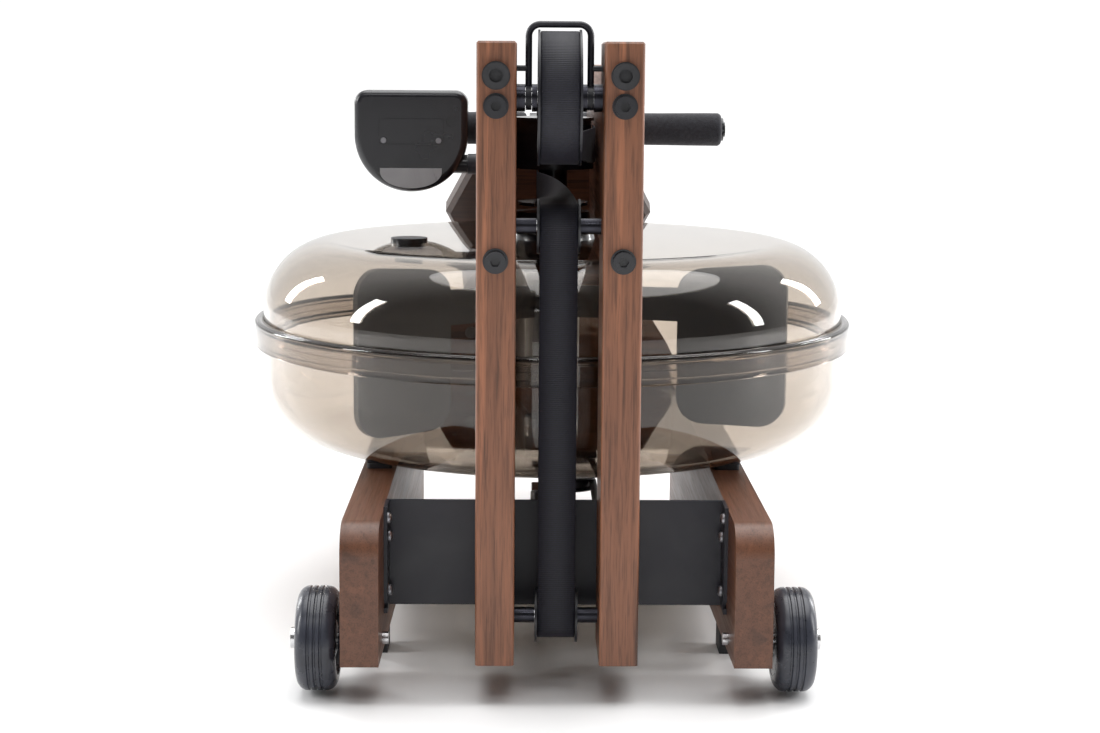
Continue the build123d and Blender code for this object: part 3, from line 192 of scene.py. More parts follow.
def moulded_plastic(name, color, roughness=0.3, grain=0.12, coat=0.0):
    """Injection-moulded plastic with a fine spark-eroded grain and faint handling marks."""
    material = new_material(name, color, roughness, Coat_Weight=coat, Coat_Roughness=0.08)
    spot = place(material, (1, 1, 1))
    fine = noise(material, spot, 1400.0, 2.0)
    marks = noise(material, spot, 22.0, 5.0, 0.6, 0.4)
    rough = ramp(material, marks, [(0.35, grey(roughness * 0.85)), (0.7, grey(roughness * 1.25))])
    tint = ramp(material, marks, [(0.3, color), (0.8, tuple(c * 1.35 + 0.002 for c in color))])
    set_look(material, tint, rough, bump(material, fine, grain, 0.00012))
    return material


def powder_coat(name, color=(0.017, 0.018, 0.024)):
    """Black powder coat: an even orange-peel skin, slightly paler where it has rubbed."""
    material = new_material(name, color, 0.42)
    spot = place(material, (1, 1, 1))
    peel = noise(material, spot, 620.0, 3.0)
    rubs = noise(material, spot, 14.0, 6.0, 0.65, 0.5)
    rough = ramp(material, rubs, [(0.35, grey(0.36)), (0.75, grey(0.52))])
    tint = ramp(material, rubs, [(0.45, color), (0.9, tuple(c * 1.9 for c in color))])
    set_look(material, tint, rough, bump(material, peel, 0.16, 0.0002))
    return material


def bright_steel(name, color=(0.62, 0.62, 0.63), roughness=0.16):
    """Plated steel with fine turning marks."""
    material = new_material(name, color, roughness, 1.0)
    marks = noise(material, place(material, (40, 1, 1)), 160.0, 3.0)
    stains = noise(material, place(material, (1, 1, 1)), 60.0, 4.0)
    rough = ramp(material, stains, [(0.3, grey(roughness * 0.8)), (0.75, grey(roughness * 1.7))])
    set_look(material, None, rough, bump(material, marks, 0.05, 0.0001))
    return material


def rubber(name, color=(0.016, 0.016, 0.018), roughness=0.62):
    """Moulded rubber: matt, with a light bloom."""
    material = new_material(name, color, roughness)
    spot = place(material, (1, 1, 1))
    bloom = noise(material, spot, 40.0, 5.0, 0.6)
    tint = ramp(material, bloom, [(0.35, color), (0.8, tuple(c * 2.0 + 0.004 for c in color))])
    rough = ramp(material, bloom, [(0.3, grey(roughness - 0.08)), (0.8, grey(roughness + 0.14))])
    set_look(material, tint, rough, bump(material, noise(material, spot, 800.0, 2.0), 0.2, 0.0002))
    return material


def foam(name):
    """Closed-cell foam grip: soft, pitted and very matt."""
    material = new_material(name, (0.022, 0.022, 0.027), 0.88, Sheen_Weight=0.12, Sheen_Roughness=0.5)
    spot = place(material, (1, 1, 1))
    cells = node(material, "ShaderNodeTexVoronoi", Scale=900.0)
    link(material, spot, cells.inputs["Vector"])
    soft = noise(material, spot, 260.0, 4.0, 0.65)
    tint = ramp(material, soft, [(0.3, (0.010, 0.010, 0.014)), (0.75, (0.028, 0.028, 0.036))])
    normal = bump(material, cells.outputs["Distance"], 0.55, 0.0006)
    set_look(material, tint, None, bump(material, soft, 0.4, 0.0008, normal))
    return material


def webbing(name, color=(0.0022, 0.0021, 0.0085)):
    """Woven strap: ribs across the width and fine lengthwise yarns."""
    material = new_material(name, color, 0.62, Sheen_Weight=0.04, Sheen_Roughness=0.4)
    coordinates = place(material, (1, 1, 1), "UV")
    ribs = node(material, "ShaderNodeTexWave", wave_type="BANDS", bands_direction="Y", Scale=190.0,
                Distortion=1.4, Detail=2.0)
    yarns = node(material, "ShaderNodeTexWave", wave_type="BANDS", bands_direction="X", Scale=130.0,
                 Distortion=0.4, Detail=1.0)
    for wave in (ribs, yarns):
        link(material, coordinates, wave.inputs["Vector"])
    fuzz = noise(material, coordinates, 420.0, 3.0)
    weave = mix_color(material, 0.14, ribs.outputs["Color"], yarns.outputs["Color"])
    tint = ramp(material, weave, [(0.15, tuple(c * 0.5 for c in color)), (0.6, color),
                                  (0.95, tuple(c * 1.8 for c in color))])
    speck = ramp(material, fuzz, [(0.35, grey(0.75)), (0.7, grey(1.35))])
    normal = bump(material, weave, 0.45, 0.0004)
    set_look(material, mix_color(material, 1.0, tint, speck, "MULTIPLY"), None, normal)
    return material


def smoked_clear(name, tint, roughness=0.015):
    """Smoke-tinted clear polycarbonate, with very faint wiping marks."""
    material = new_material(name, tint, roughness, IOR=1.46, Transmission_Weight=1.0)
    marks = noise(material, place(material, (1, 1, 1)), 18.0, 4.0, 0.6, 0.8)
    set_look(material, None, ramp(material, marks, [(0.45, grey(roughness)), (0.85, grey(roughness * 3))]))
    return material


def padded_cover(name):
    """Black vinyl cover with a pebbled grain."""
    material = new_material(name, (0.018, 0.018, 0.021), 0.46, Coat_Weight=0.05, Coat_Roughness=0.4)
    spot = place(material, (1, 1, 1))
    pebbles = node(material, "ShaderNodeTexVoronoi", Scale=520.0, feature="SMOOTH_F1")
    link(material, spot, pebbles.inputs["Vector"])
    creases = noise(material, spot, 90.0, 5.0, 0.6, 0.6)
    rough = ramp(material, creases, [(0.3, grey(0.38)), (0.75, grey(0.58))])
    tint = ramp(material, creases, [(0.3, (0.012, 0.012, 0.014)), (0.8, (0.034, 0.034, 0.038))])
    normal = bump(material, pebbles.outputs["Distance"], 0.4, 0.0005)
    set_look(material, tint, rough, bump(material, creases, 0.15, 0.0008, normal))
    return material


post_wood = walnut("walnut_upright", "Z", 1.0, 1.05)
deck_wood = walnut("walnut_deck", "Y", 2.0)
base_wood = walnut("walnut_base", "Y", 3.3, 0.62, 0.5)
rail_wood = walnut("walnut_rail", "Y", 4.1, 0.95)
cross_wood = walnut("walnut_cross", "X", 5.2, 0.72)
# The footboard's very low tone (0.17) is painted shade: the same walnut, darkened as if its underside sat in
# shadow.
footboard_painted_shade_wood = walnut("walnut_footboard_painted_shade", "X", 6.4, 0.17, 0.7)
black_plastic = moulded_plastic("black_plastic", (0.008, 0.008, 0.011), 0.24, 0.05, 0.25)
satin_plastic = moulded_plastic("satin_black_plastic", (0.010, 0.010, 0.014), 0.36, 0.12)
blade_plastic = moulded_plastic("blade_plastic", (0.020, 0.019, 0.022), 0.36, 0.10)
button_plastic = moulded_plastic("button_plastic", (0.32, 0.33, 0.36), 0.5, 0.2)
black_steel = powder_coat("black_powder_coat", (0.013, 0.013, 0.020))
black_bolt = moulded_plastic("black_oxide", (0.009, 0.009, 0.012), 0.30, 0.04, 0.2)
dull_steel = bright_steel("dull_steel", (0.30, 0.30, 0.32), 0.32)
sleeve_steel = bright_steel("sleeve_steel", (0.045, 0.045, 0.055), 0.26)
plated = bright_steel("plated_steel")
black_rubber = rubber("black_rubber")
tyre_rubber = rubber("wheel_rubber", (0.023, 0.025, 0.034), 0.28)
grip_foam = foam("grip_foam")
strap_weave = webbing("strap_webbing")
cord_weave = webbing("bungee_braid", (0.014, 0.014, 0.014))
tank_clear = smoked_clear("smoked_polycarbonate", (0.662, 0.606, 0.545))
band_clear = smoked_clear("band_polymer", (0.50, 0.44, 0.39), 0.04)
lip_dark = moulded_plastic("band_lip", (0.020, 0.015, 0.013), 0.16, 0.02, 0.3)
window_clear = smoked_clear("window_acrylic", (0.92, 0.93, 0.92), 0.03)
track_strip = moulded_plastic("track_strip", (0.03, 0.03, 0.032), 0.34, 0.1)
cover_vinyl = padded_cover("seat_vinyl")
circuit = moulded_plastic("circuit_board", (0.02, 0.12, 0.05), 0.45, 0.2)
label_grey = moulded_plastic("plain_label", (0.26, 0.26, 0.27), 0.32, 0.03)
display_grey = moulded_plastic("display_panel", (0.30, 0.34, 0.28), 0.5, 0.05)
segment_black = moulded_plastic("display_segments", (0.02, 0.025, 0.02), 0.5, 0.05)

node_materials = {
    post_wood: ("post_left", "post_right"),
    deck_wood: ("deck_board_left", "deck_board_right"),
    base_wood: ("base_board_left", "base_board_right"),
    rail_wood: ("rail_left", "rail_right"),
    cross_wood: ("bulkhead", "rear_leg", "deck_block"),
    footboard_painted_shade_wood: ("footboard", "footboard_supports"),
    black_steel: ("cross_plate", "belt_guard", "monitor_arm", "seat_carriage", "bungee_fittings"),
    black_bolt: ("post_bolts",),
    plated: ("impeller_shaft", "axles", "seat_rollers_front", "seat_rollers_rear", "recoil_hook"),
    dull_steel: ("frame_screws", "monitor_screws"),
    sleeve_steel: ("spacers",),
    black_rubber: ("rubber_feet", "rubber_bumpers", "handle_rests"),
    black_plastic: ("monitor_back", "monitor_front", "battery_cover", "tank_fittings", "drum",
                    "handle_bar"),
    satin_plastic: ("top_pulley", "middle_pulley", "bottom_pulley", "bungee_pulley", "heel_rest_left",
                    "heel_rest_right"),
    blade_plastic: ("impeller",),
    button_plastic: ("button_left", "button_middle", "button_right"),
    track_strip: ("rail_tracks",),
    window_clear: ("monitor_lens",),
    circuit: ("monitor_electronics",),
}
for material, names in node_materials.items():
    for name in names:
        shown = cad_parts[name]
        shown.data.materials.clear()
        shown.data.materials.append(material)


# ---------------------------------------------------------------- mesh helpers
def finish_piece(mesh_builder, name, material, smooth=True):
    mesh = bpy.data.meshes.new(name)
    bmesh.ops.recalc_face_normals(mesh_builder, faces=mesh_builder.faces)
    mesh_builder.to_mesh(mesh)
    mesh_builder.free()
    piece = bpy.data.objects.new(name, mesh)
    bpy.context.scene.collection.objects.link(piece)
    mesh.materials.append(material)
    for face in mesh.polygons:
        face.use_smooth = smooth
    return piece


def arc_points(middle, radius, start, end, count):
    """Points on an arc in a profile's plane; angles in degrees."""
    spread = [radians(start + (end - start) * i / count) for i in range(count + 1)]
    return [(middle[0] + radius * cos(a), middle[1] + radius * sin(a)) for a in spread]


def lathe(name, profile, origin, axis, material, segments=128):
    """A closed ring: a profile of (radius, height) points turned about an axis through origin."""
    directions = {"X": (Vector((0, 1, 0)), Vector((0, 0, 1)), Vector((1, 0, 0))),
                  "Z": (Vector((1, 0, 0)), Vector((0, 1, 0)), Vector((0, 0, 1)))}
    first, second, up = directions[axis]
    builder = bmesh.new()
    rings = []
    for i in range(segments):
        turn = 2 * pi * i / segments
        out = first * cos(turn) + second * sin(turn)
        rings.append([builder.verts.new(Vector(origin) + out * r + up * h) for r, h in profile])
    count = len(profile)
    for i in range(segments):
        here, there = rings[i], rings[(i + 1) % segments]
        for j in range(count):
            k = (j + 1) % count
            builder.faces.new((here[j], here[k], there[k], there[j]))
    return finish_piece(builder, name, material)


def sharpen(piece, angle=35):
    """Smooth shading that still breaks at sharp edges."""
    mesh = piece.data
    builder = bmesh.new()
    builder.from_mesh(mesh)
    for edge in builder.edges:
        if len(edge.link_faces) == 2 and edge.calc_face_angle(0) > radians(angle):
            edge.smooth = False
    builder.to_mesh(mesh)
    builder.free()


def ribbon(name, stations, width, thickness, material):
    """A flat strap with rounded edges and UVs, through stations of (point, side, face direction)."""
    edge = thickness / 2
    outline = [(-width / 2, 0), (-width / 2 + edge * 0.6, edge), (width / 2 - edge * 0.6, edge),
               (width / 2, 0), (width / 2 - edge * 0.6, -edge), (-width / 2 + edge * 0.6, -edge)]
    builder = bmesh.new()
    uv = builder.loops.layers.uv.new("UVMap")
    rows = []
    length = 0.0
    lengths = []
    for i, (point, side, face) in enumerate(stations):
        if i:
            length += (Vector(point) - Vector(stations[i - 1][0])).length
        lengths.append(length)
        rows.append([builder.verts.new(Vector(point) + Vector(side) * a + Vector(face) * b)
                     for a, b in outline])
    count = len(outline)
    for i in range(len(rows) - 1):
        for j in range(count):
            k = (j + 1) % count
            made = builder.faces.new((rows[i][j], rows[i][k], rows[i + 1][k], rows[i + 1][j]))
            places = ((j, i), (k, i), (k, i + 1), (j, i + 1))
            for loop, (across, along) in zip(made.loops, places):
                loop[uv].uv = (outline[across][0], lengths[along])
    for row in (rows[0], rows[-1]):
        builder.faces.new(row)
    return finish_piece(builder, name, material)


def tube(name, points, radius, material, sides=16):
    """A round cord through closely spaced points that lie in a level plane, with UVs round and along it."""
    builder = bmesh.new()
    uv = builder.loops.layers.uv.new("UVMap")
    rows = []
    length = 0.0
    lengths = []
    for i, point in enumerate(points):
        before = Vector(points[max(i - 1, 0)])
        after = Vector(points[min(i + 1, len(points) - 1)])
        if i:
            length += (Vector(point) - Vector(points[i - 1])).length
        lengths.append(length)
        forward = (after - before).normalized()
        up = Vector((0, 0, 1))
        side = forward.cross(up).normalized()
        rows.append([builder.verts.new(Vector(point) + (side * cos(2 * pi * j / sides)
                                                        + up * sin(2 * pi * j / sides)) * radius)
                     for j in range(sides)])
    for i in range(len(rows) - 1):
        for j in range(sides):
            k = (j + 1) % sides
            made = builder.faces.new((rows[i][j], rows[i][k], rows[i + 1][k], rows[i + 1][j]))
            places = ((j, i), (j + 1, i), (j + 1, i + 1), (j, i + 1))
            for loop, (around, along) in zip(made.loops, places):
                loop[uv].uv = (around / sides * radius * 2 * pi, lengths[along])
    for row in (rows[0], rows[-1]):
        builder.faces.new(row)
    return finish_piece(builder, name, material)


def slab(name, outline, depth, to_world, material, bevel=0.0):
    """A flat plate with a given outline; to_world turns (a, b, c) into a point."""
    builder = bmesh.new()
    lower = [builder.verts.new(to_world(a, b, 0)) for a, b in outline]
    upper = [builder.verts.new(to_world(a, b, depth)) for a, b in outline]
    builder.faces.new(lower)
    top = builder.faces.new(upper)
    for i in range(len(outline)):
        j = (i + 1) % len(outline)
        builder.faces.new((lower[i], lower[j], upper[j], upper[i]))
    if bevel:
        bmesh.ops.recalc_face_normals(builder, faces=builder.faces)
        bmesh.ops.bevel(builder, geom=list(top.edges), offset=bevel, segments=3, profile=0.5,
                        affect="EDGES")
    made = finish_piece(builder, name, material)
    sharpen(made)
    return made


# ---------------------------------------------------------------- tank
tank_y = center("tank_band").y
band_radius = high("tank_band").x
flange_radius = high("tank_upper").x
flange_step = 5.5 * MM
hull_radius = flange_radius - flange_step
wall = 4 * MM
seam_z = low("tank_upper").z
tank_top = high("tank_upper").z
tank_bottom = low("tank_lower").z
flange = 6 * MM
rim_half = high("tank_band").z - seam_z
tank_axis = (0, tank_y, 0)
upper_turn = 65 * MM
lower_turn = 60 * MM
shaft_hole = 20 * MM
foot_hole = 10 * MM
tank_segments = 192


def hull_profile(end, turn, upward, hole, steps=20):
    """Section of one half of the tank: outer skin, flange, inner skin."""
    toward = 1 if upward else -1
    bend_r = hull_radius - turn
    bend_z = end - toward * turn
    quarter = 90 * toward
    outer = arc_points((bend_r, bend_z), turn, quarter, 0, steps)
    inner = arc_points((bend_r, bend_z), turn - wall, 0, quarter, steps)
    root = 1.5 * MM
    corner = 0.5 * MM
    flat = hole + 30 * MM
    flange_z = seam_z + toward * flange
    joint_z = seam_z + toward * 0.02 * MM
    inside = end - toward * wall
    rim = [(hull_radius, flange_z + toward * root), (hull_radius + root, flange_z),
           (flange_radius - corner, flange_z), (flange_radius, flange_z - toward * corner),
           (flange_radius, joint_z), (hull_radius - wall, joint_z)]
    return [(hole, end), (flat, end)] + outer + rim + inner + [(flat, inside), (hole, inside)]


def band_profile():
    """Section of the clamping band: rounded lips outside, a groove over the flanges inside."""
    edge = 2.2 * MM
    inner = hull_radius + 0.4 * MM
    groove = flange_radius + 0.2 * MM
    groove_half = flange + 0.3 * MM
    lower_lip = arc_points((band_radius - edge, seam_z - rim_half + edge), edge, -90, 0, 5)
    upper_lip = arc_points((band_radius - edge, seam_z + rim_half - edge), edge, 0, 90, 5)
    return ([(inner, seam_z - rim_half)] + lower_lip + upper_lip
            + [(inner, seam_z + rim_half), (inner, seam_z + groove_half), (groove, seam_z + groove_half),
               (groove, seam_z - groove_half), (inner, seam_z - groove_half)])


def lip_profile():
    """Section of the dark seal that shows along the band's upper edge."""
    inner = hull_radius + 0.5 * MM
    top = seam_z + rim_half
    return [(inner, top - 2.6 * MM), (band_radius - 2.4 * MM, top - 2.6 * MM),
            (band_radius - 1.6 * MM, top - 1.4 * MM), (band_radius - 2.2 * MM, top + 0.7 * MM),
            (inner, top + 0.7 * MM)]


tank_upper = lathe("tank_upper_shell", hull_profile(tank_top, upper_turn, True, shaft_hole), tank_axis,
                   "Z", tank_clear, tank_segments)
tank_lower = lathe("tank_lower_shell", hull_profile(tank_bottom, lower_turn, False, foot_hole), tank_axis,
                   "Z", tank_clear, tank_segments)
tank_band = lathe("tank_clamp_band", band_profile(), tank_axis, "Z", band_clear, tank_segments)
band_lip = lathe("tank_band_lip", lip_profile(), tank_axis, "Z", lip_dark, tank_segments)
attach(band_lip, "root")
for piece, replaced, finish in ((tank_upper, "tank_upper", "smoked_clear"),
                                (tank_lower, "tank_lower", "smoked_clear"),
                                (tank_band, "tank_band", "band_clear")):
    sharpen(piece, 40)
    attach(piece, "root")
    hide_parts(replaced)

# ---------------------------------------------------------------- straps
strap_width = 30 * MM
strap_thick = 1.5 * MM
strap_gap = 0.4 * MM
coil_gap = 0.6 * MM
pulley_flange = 3 * MM
small_pulley_r = 16 * MM
pulley_y = center("top_pulley").y
top_z = center("top_pulley").z
mid_z = center("middle_pulley").z
bottom_z = center("bottom_pulley").z
drive_r = high("top_pulley").z - top_z - pulley_flange + strap_gap + strap_thick / 2
recoil_r = small_pulley_r + strap_gap + strap_thick / 2
handle_z = center("handle_bar").z
strap_end_y = low("handle_bar").y - strap_gap
reach = (strap_end_y - pulley_y, handle_z - top_z)
slope = atan2(reach[1], reach[0]) - asin(drive_r / hypot(*reach))
leave = pi / 2 + slope
across = Vector((1, 0, 0))
flat_lead = 60 * MM
edge_run = 45 * MM
drum_y = center("drum").y


def wrap(z, radius, start, end, steps):
    """Stations round a pulley; angles in radians measured from +Y towards +Z."""
    found = []
    for i in range(steps + 1):
        angle = start + (end - start) * i / steps
        out = Vector((0, cos(angle), sin(angle)))
        found.append(((0, pulley_y + radius * out.y, z + radius * out.z), across, out))
    return found


def twist(start, end, sign, steps=40):
    """Stations from flat to on edge between two points, easing the roll in and out."""
    found = []
    for i in range(steps + 1):
        share = i / steps
        ease = share * share * (3 - 2 * share)
        roll = sign * ease * pi / 2
        point = Vector(start).lerp(Vector(end), share)
        point.x = start[0] + (end[0] - start[0]) * ease
        side = Vector((cos(roll), 0, sin(roll)))
        found.append((point, side, Vector((-sin(roll), 0, cos(roll)))))
    return found


def straight(start, end, side, face, steps):
    return [(Vector(start).lerp(Vector(end), i / steps), side, face) for i in range(steps + 1)]


drive_low = top_z - drive_r
drum_coil_z = 429 * MM
bobbin_z = 387 * MM
drum_coil_r = 36 * MM
bobbin_r = drum_coil_r * 0.38
drive_x = drum_coil_r + coil_gap + strap_thick / 2
recoil_x = -(bobbin_r + coil_gap + strap_thick / 2)


def strap_to_drum(x, z_from, z_to, sign):
    """From the drum forwards to just behind a pulley, as stations in that order."""
    edge_on = twist((0, pulley_y + flat_lead, z_from), (x, drum_y - edge_run, z_to), sign)
    side, face = edge_on[-1][1], edge_on[-1][2]
    edge_on += straight((x, drum_y - edge_run + 5 * MM, z_to), (x, drum_y, z_to), side, face, 6)
    return edge_on[::-1]


def lead_in(z):
    """Flat stations from the end of the twist to a pulley."""
    return [((0, pulley_y + flat_lead * (1 - i / 6), z), across, Vector((0, 0, 1))) for i in range(1, 6)]


drive_stations = strap_to_drum(drive_x, drive_low, drum_coil_z, -1) + lead_in(drive_low)
drive_stations += [(p, s, -f) for p, s, f in wrap(top_z, drive_r, 3 * pi / 2, leave, 60)]
drive_wrap = ribbon("drive_strap_wrap", drive_stations, strap_width, strap_thick, strap_weave)

leave_point = Vector((0, pulley_y + drive_r * cos(leave), top_z + drive_r * sin(leave)))
run_face = -Vector((0, cos(leave), sin(leave)))
drive_run = ribbon("drive_strap_run",
                   straight(leave_point, (0, strap_end_y, handle_z), across, run_face, 120),
                   strap_width, strap_thick, strap_weave)

recoil_top = mid_z + recoil_r
recoil_low = bottom_z - recoil_r
recoil_stations = strap_to_drum(recoil_x, recoil_top, bobbin_z, 1) + lead_in(recoil_top)
recoil_stations += wrap(mid_z, recoil_r, pi / 2, pi, 14)
down = straight((0, pulley_y - recoil_r, mid_z), (0, pulley_y - recoil_r, bottom_z), across,
                Vector((0, -1, 0)), 20)
recoil_stations += down[1:-1]
recoil_stations += wrap(bottom_z, recoil_r, pi, 3 * pi / 2, 14)
recoil_wrap = ribbon("recoil_strap_wrap", recoil_stations, strap_width, strap_thick, strap_weave)
hook_front = low("recoil_hook").y
strap_in_hook = 24 * MM
recoil_run = ribbon("recoil_strap_run",
                    straight((0, pulley_y, recoil_low), (0, hook_front + strap_in_hook, recoil_low), across,
                             Vector((0, 0, -1)), 80), strap_width, strap_thick, strap_weave)
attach(drive_wrap, "root")
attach(recoil_wrap, "root")
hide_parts("drive_strap")
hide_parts("recoil_strap")
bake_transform(drive_run)
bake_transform(recoil_run)

# ---------------------------------------------------------------- bungee cord
cord_z = recoil_low
cord_r = 4 * MM
cord_bend = 25 * MM
cord_turn_y = center("bungee_pulley").y
hook_back = high("recoil_hook").y
run_start = hook_back - 4 * MM
run_points = [(0, run_start + (cord_turn_y - run_start) * i / 20, cord_z) for i in range(21)]
cord_points = [(cord_bend * (1 - cos(pi * i / 24)), cord_turn_y + cord_bend * sin(pi * i / 24), cord_z)
               for i in range(25)]
anchor_y = low("bungee_cord").y
cord_points += [(2 * cord_bend, cord_turn_y + (anchor_y - cord_turn_y) * i / 40, cord_z)
                for i in range(1, 41)]
bungee = tube("bungee", cord_points, cord_r, cord_weave)
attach(bungee, "root")
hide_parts("bungee_cord")
bungee_run = tube("bungee_run", run_points, cord_r, cord_weave)
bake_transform(bungee_run)

# ---------------------------------------------------------------- transport wheels
wheel_r = (high("wheel_left").z - low("wheel_left").z) / 2
wheel_w = high("wheel_left").x - low("wheel_left").x


def wheel_profile():
    """Tyre with a rounded tread, side grooves, a stepped rim and a raised hub."""
    half = wheel_w / 2
    shoulder = 9 * MM
    groove_place = half - 11 * MM
    tread = arc_points((wheel_r - shoulder, half - shoulder), shoulder, 90, 12, 8)
    crown = []
    for groove in (groove_place, 0.0, -groove_place):
        crown += [(wheel_r, groove + 1.3 * MM), (wheel_r - 1.1 * MM, groove + 0.6 * MM),
                  (wheel_r - 1.1 * MM, groove - 0.6 * MM), (wheel_r, groove - 1.3 * MM)]
    other = [(r, -h) for r, h in tread[::-1]]
    face = [(wheel_r - 12 * MM, half), (wheel_r - 13 * MM, half - 1.2 * MM),
            (wheel_r - 14 * MM, half - 1.2 * MM), (wheel_r - 15 * MM, half - 6.5 * MM),
            (16 * MM, half - 7.0 * MM), (14.5 * MM, half - 2.5 * MM), (12 * MM, half - 1.5 * MM),
            (8 * MM, half - 1.5 * MM), (5.15 * MM, half - 2 * MM)]
    inside = [(r, -h) for r, h in face[::-1]]
    return face[::-1] + tread + crown + other + inside


for side in ("left", "right"):
    name = "wheel_" + side
    wheel = lathe("transport_" + name, wheel_profile(), center(name), "X", tyre_rubber, 96)
    sharpen(wheel, 30)
    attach(wheel, name)
    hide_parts(name)

# ---------------------------------------------------------------- handle grips
grip_z = center("handle_grips").z
grip_y = center("handle_grips").y
grip_r = high("handle_grips").z - grip_z
grip_end = high("handle_grips").x
grip_start = 25 * MM
grip_bore = 12.7 * MM


def grip_profile(half):
    """Foam sleeve with rounded ends and a slight waist at its middle."""
    round_off = 5 * MM
    dip = 0.5 * MM
    end = half - round_off
    outside = [(grip_r - round_off + round_off * sin(radians(a)), end + round_off * cos(radians(a)))
               for a in range(0, 91, 15)]
    swell = [(grip_r - dip * (1 - cos(2 * pi * i / 16)) / 2, end - 2 * end * i / 16) for i in range(1, 16)]
    back = [(r, -h) for r, h in outside[::-1]]
    return [(grip_bore, half)] + outside + swell + back + [(grip_bore, -half)]


for side, sign in (("left", -1), ("right", 1)):
    half = (grip_end - grip_start) / 2
    grip = lathe("foam_grip_" + side, grip_profile(half), (sign * (grip_start + half), grip_y, grip_z), "X",
                 grip_foam, 72)
    sharpen(grip, 50)
    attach(grip, "handle")
    if side == "left":
        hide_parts("handle_grips")

# ---------------------------------------------------------------- seat cushion
def rounded_outline(half_x, half_y, radius, steps=8):
    found = []
    for cx, cy, start in ((half_x, half_y, 0), (-half_x, half_y, 90), (-half_x, -half_y, 180),
                          (half_x, -half_y, 270)):
        middle = (cx - radius if cx > 0 else cx + radius, cy - radius if cy > 0 else cy + radius)
        found += arc_points(middle, radius, start, start + 90, steps)
    return found


seat_low, seat_high = low("seat_cushion"), high("seat_cushion")
seat_mid = (seat_low + seat_high) / 2
half_x = (seat_high.x - seat_low.x) / 2
half_y = (seat_high.y - seat_low.y) / 2
thick = seat_high.z - seat_low.z
seat_corner = 58 * MM


def seat_block(levels=7):
    """The cut foam: rounded corners, sides that draw in at the foot and towards the top."""
    shrink = 5 * MM
    builder = bmesh.new()
    rings = []
    for i in range(levels + 1):
        share = i / levels
        top_draw = 9 * MM * max(0.0, share - 0.6) ** 2 / 0.16
        foot_draw = 2.5 * MM * (1 - min(share / 0.25, 1.0))
        inset = shrink + top_draw + foot_draw
        outline = rounded_outline(half_x - inset, half_y - inset, seat_corner)
        height = seat_low.z + 1 * MM + (thick - 8 * MM) * share
        rings.append([builder.verts.new((seat_mid.x + x, seat_mid.y + y, height)) for x, y in outline])
    for first, second in zip(rings, rings[1:]):
        for j in range(len(first)):
            k = (j + 1) % len(first)
            builder.faces.new((first[j], first[k], second[k], second[j]))
    builder.faces.new(rings[0])
    builder.faces.new(rings[-1])
    return finish_piece(builder, "seat_pad", cover_vinyl)


def even_mesh(piece, size):
    """Remesh a piece into even faces."""
    remesh = piece.modifiers.new("even", "REMESH")
    remesh.mode = "VOXEL"
    remesh.voxel_size = size
    bpy.context.view_layer.objects.active = piece
    bpy.ops.object.select_all(action="DESELECT")
    piece.select_set(True)
    bpy.ops.object.modifier_apply(modifier=remesh.name)


def inflate(piece, most, moments=20):
    """Puff the cover up with a cloth simulation, no point moving further than most."""
    rest_points = [v.co.copy() for v in piece.data.vertices]
    cloth = piece.modifiers.new("cloth", "CLOTH")
    cloth.settings.use_pressure = True
    cloth.settings.uniform_pressure_force = 4.0
    cloth.settings.quality = 6
    cloth.settings.effector_weights.gravity = 0.0
    for moment in range(1, moments + 1):
        bpy.context.scene.frame_set(moment)
    bpy.ops.object.modifier_apply(modifier=cloth.name)
    bpy.context.scene.frame_set(1)
    for vertex, before in zip(piece.data.vertices, rest_points):
        moved = vertex.co - before
        if moved.length > most:
            vertex.co = before + moved.normalized() * most


def press_seat(piece):
    """Two sitting hollows and a sewn channel down the middle, deepest at the top."""
    hollow_depth, channel_depth = 5.5 * MM, 2.2 * MM
    hollow_places = (-0.42, 0.42)
    for vertex in piece.data.vertices:
        x = (vertex.co.x - seat_mid.x) / half_x
        y = (vertex.co.y - seat_mid.y) / half_y
        share = min(max((vertex.co.z - seat_low.z) / thick, 0.0), 1.0)
        hollows = sum(exp(-((x - at) ** 2) / 0.12 - ((y - 0.10) ** 2) / 0.30) for at in hollow_places)
        channel = exp(-(x ** 2) / 0.0035) if abs(y) < 0.72 else 0.0
        vertex.co.z -= share * (hollow_depth * hollows + channel_depth * channel)
        vertex.co.z = max(vertex.co.z, seat_low.z)


def smoothed(piece):
    smooth = piece.modifiers.new("round", "SUBSURF")
    smooth.levels = smooth.render_levels = 1
    bpy.ops.object.modifier_apply(modifier=smooth.name)
    for face in piece.data.polygons:
        face.use_smooth = True


cushion = seat_block()
even_mesh(cushion, 5 * MM)
inflate(cushion, 7 * MM)
press_seat(cushion)
smoothed(cushion)
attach(cushion, "seat")
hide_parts("seat_cushion")


def piping_route(height, turns=72):
    """Points round the pad's edge at a height, evened out, as (x, y, z)."""
    sink = 0.4 * MM
    band = [(atan2(v.co.y - seat_mid.y, v.co.x - seat_mid.x), hypot(v.co.x - seat_mid.x, v.co.y - seat_mid.y))
            for v in cushion.data.vertices if abs(v.co.z - height) < 5 * MM]
    headings = [2 * pi * i / turns for i in range(turns)]
    near = cos(radians(5))
    edge = [max(r for a, r in band if cos(a - heading) > near) for heading in headings]
    found = []
    for i, heading in enumerate(headings):
        even = (edge[i - 1] + 2 * edge[i] + edge[(i + 1) % turns]) / 4 - sink
        found.append((seat_mid.x + even * cos(heading), seat_mid.y + even * sin(heading), height))
    return found


piping_points = piping_route(seat_low.z + 9 * MM)
piping = tube("seat_piping", piping_points + piping_points[:1], 2.0 * MM, cover_vinyl, 12)
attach(piping, "seat")

